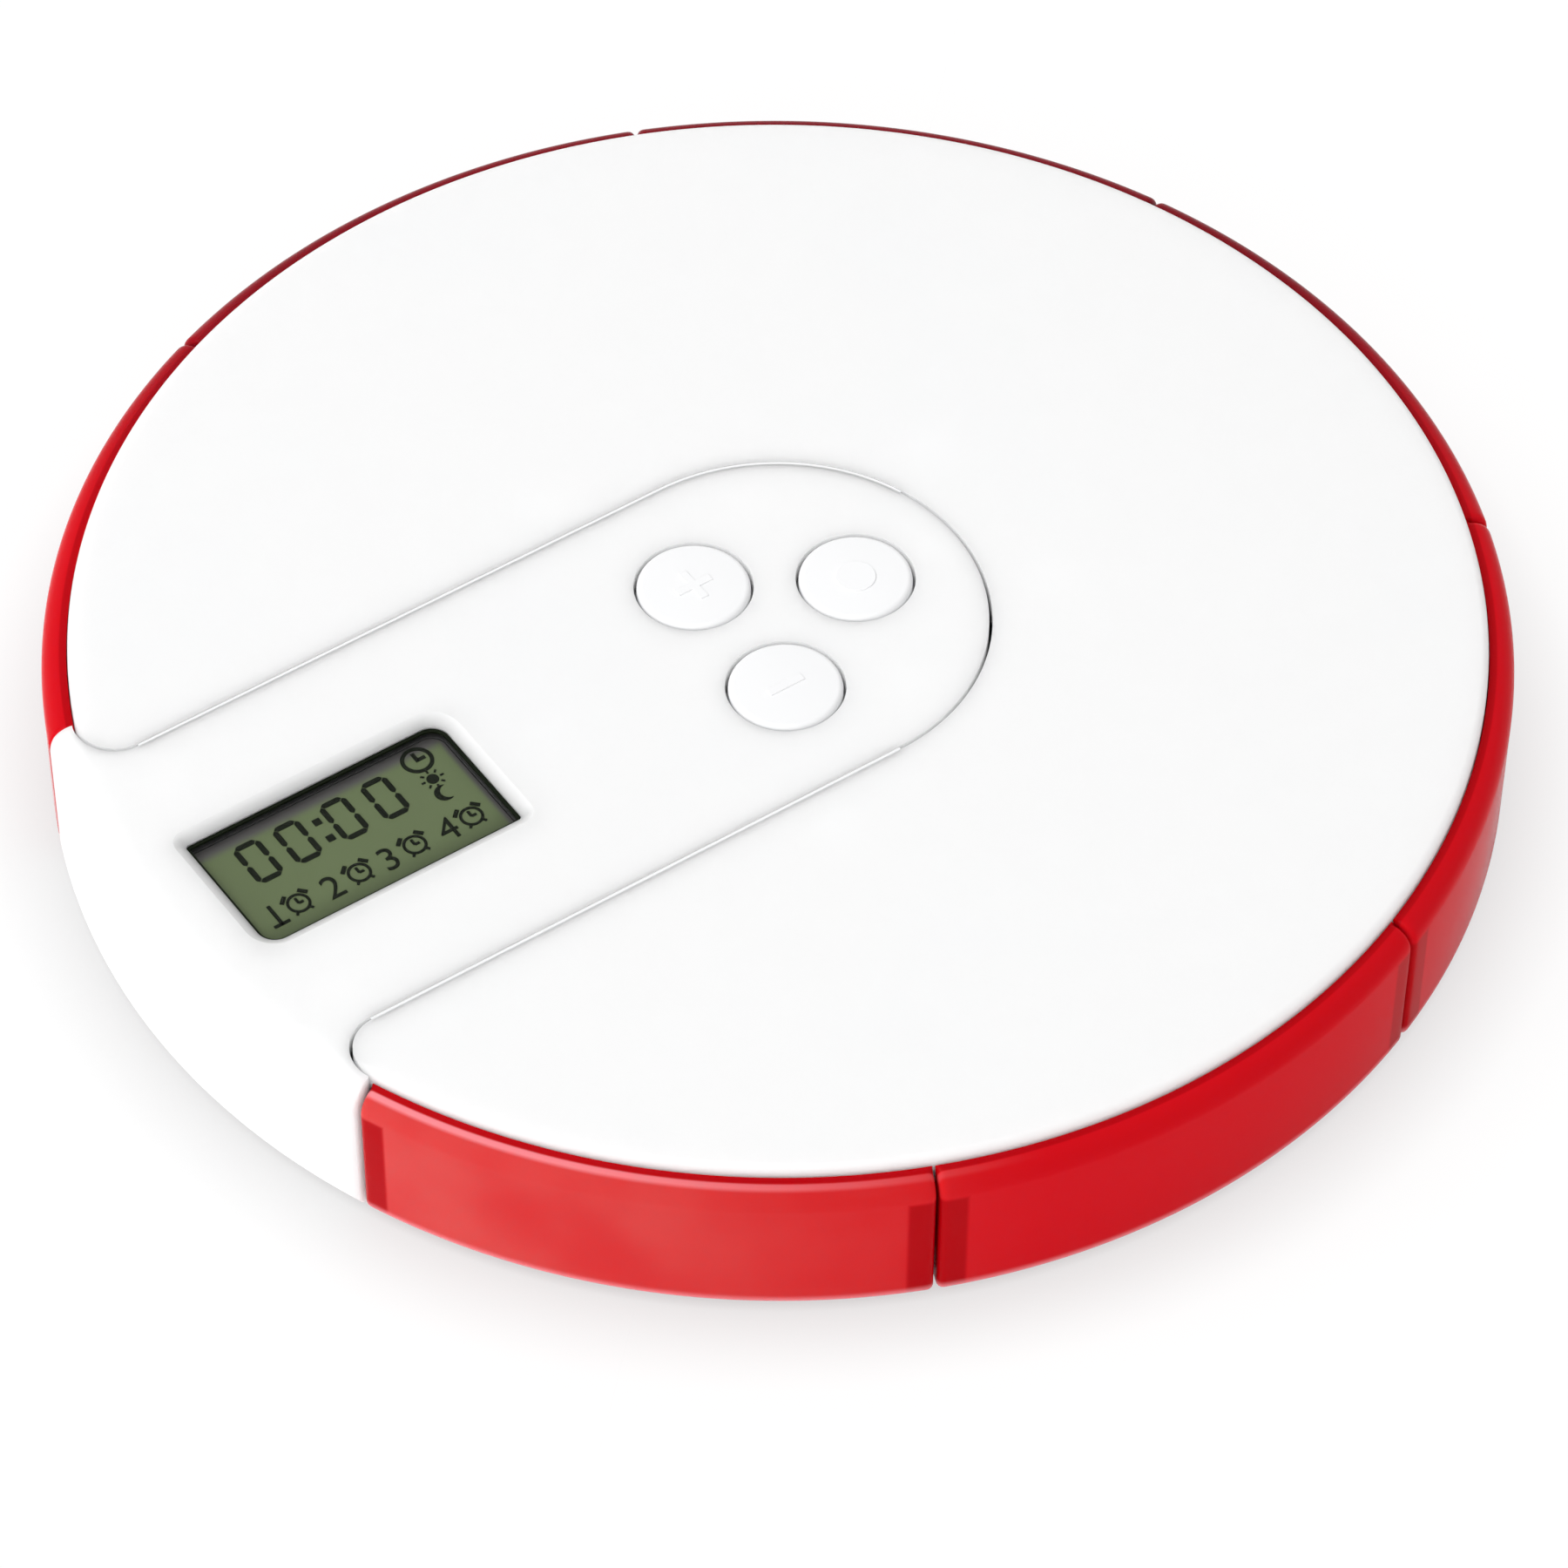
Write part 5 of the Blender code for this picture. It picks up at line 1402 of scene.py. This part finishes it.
    def figure(self, text, x):
        """A plain figure of the alarm row."""
        bpy.ops.object.text_add(location=(x, FIGURE_LOW, INK_LOW + INK / 2.0))
        piece = bpy.context.object
        piece.data.body = text
        piece.data.size = FIGURE_SIZE
        piece.data.align_x = "CENTER"
        piece.data.extrude = INK / 2.0
        bpy.ops.object.convert(target="MESH")
        piece = bpy.context.object
        with editing(piece):
            bpy.ops.mesh.remove_doubles(threshold=WELD)
        return settle(piece)


class PILLBOX_OT_inside(bpy.types.Operator):
    """Add the floor, the door and most pieces that lie inside the box, and finish the board"""

    bl_idname = "pill_box.inside"
    bl_label = "Inside"

    def execute(self, context):
        for name, (body, slot, edge) in ROUNDED.items():
            dress(finer_copy(name, edge), name + "_finished", body, slot, [name])
        finish(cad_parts["circuit_board"], "board_green")
        return {"FINISHED"}


class PILLBOX_OT_screws_and_feet(bpy.types.Operator):
    """Add the ten screws with their crosses and the four feet"""

    bl_idname = "pill_box.screws_and_feet"
    bl_label = "Screws and feet"

    def execute(self, context):
        self.repeat(self.screw(LID_SCREWS[0], CASE_CROSS), LID_SCREWS + PANEL_SCREWS, "steel")
        self.repeat(self.screw(BOARD_SCREWS[0], BOARD_CROSS), BOARD_SCREWS, "steel")
        self.repeat(finer_copy(FEET[0], FOOT_EDGE), FEET, "rubber")
        return {"FINISHED"}

    def screw(self, name, sizes):
        """The first screw of a kind, with a cross in its head underneath."""
        reach, depth, width = sizes
        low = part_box(name)[0].z
        outline = cross(place_of(name), reach / 2.0, width / 2.0)
        return take(finer_copy(name, SCREW_EDGE), plate("cross", outline, low - OVERRUN, low + depth))

    def repeat(self, pattern, names, slot):
        """One copy of a pattern for each of some solids. The pattern lies where the first of them does."""
        start = Vector((*place_of(names[0]), 0.0))
        for name in names:
            piece = copy_of(pattern)
            piece.location = Vector((*place_of(name), 0.0)) - start
            dress(settle(piece), name + "_finished", "case", slot, [name])
        bpy.data.objects.remove(pattern)


class PILLBOX_PT_sidebar(bpy.types.Panel):
    """Lists the pieces in the order they are made"""

    bl_label = "Pill Box"
    bl_idname = "PILLBOX_PT_sidebar"
    bl_space_type = "VIEW_3D"
    bl_region_type = "UI"
    bl_category = "Pill Box"

    def draw(self, context):
        """A button for each operator."""
        for operator in OPERATORS:
            self.layout.operator(operator.bl_idname)


OPERATORS = (PILLBOX_OT_stage, PILLBOX_OT_drawers, PILLBOX_OT_lid, PILLBOX_OT_panel, PILLBOX_OT_buttons,
             PILLBOX_OT_display, PILLBOX_OT_reading, PILLBOX_OT_inside, PILLBOX_OT_screws_and_feet)
GROUPS = {"pill_box_sizes": PillBoxSizes, "pill_box_colours": PillBoxColours, "pill_box_light": PillBoxLight}


def register():
    """Adds the groups, operators and panel to Blender."""
    for group in GROUPS.values():
        bpy.utils.register_class(group)
    for operator in OPERATORS:
        bpy.utils.register_class(operator)
    bpy.utils.register_class(PILLBOX_PT_sidebar)
    for name, group in GROUPS.items():
        setattr(bpy.types.Scene, name, PointerProperty(type=group))


def unregister():
    """Takes them out of Blender."""
    for name in GROUPS:
        delattr(bpy.types.Scene, name)
    bpy.utils.unregister_class(PILLBOX_PT_sidebar)
    for operator in reversed(OPERATORS):
        bpy.utils.unregister_class(operator)
    for group in reversed(GROUPS.values()):
        bpy.utils.unregister_class(group)


def main():
    """Makes every piece in turn."""
    register()
    bpy.ops.pill_box.stage()
    bpy.ops.pill_box.drawers()
    bpy.ops.pill_box.lid()
    bpy.ops.pill_box.panel()
    bpy.ops.pill_box.buttons()
    bpy.ops.pill_box.display()
    bpy.ops.pill_box.reading()
    bpy.ops.pill_box.inside()
    bpy.ops.pill_box.screws_and_feet()


if __name__ == "__main__":
    main()
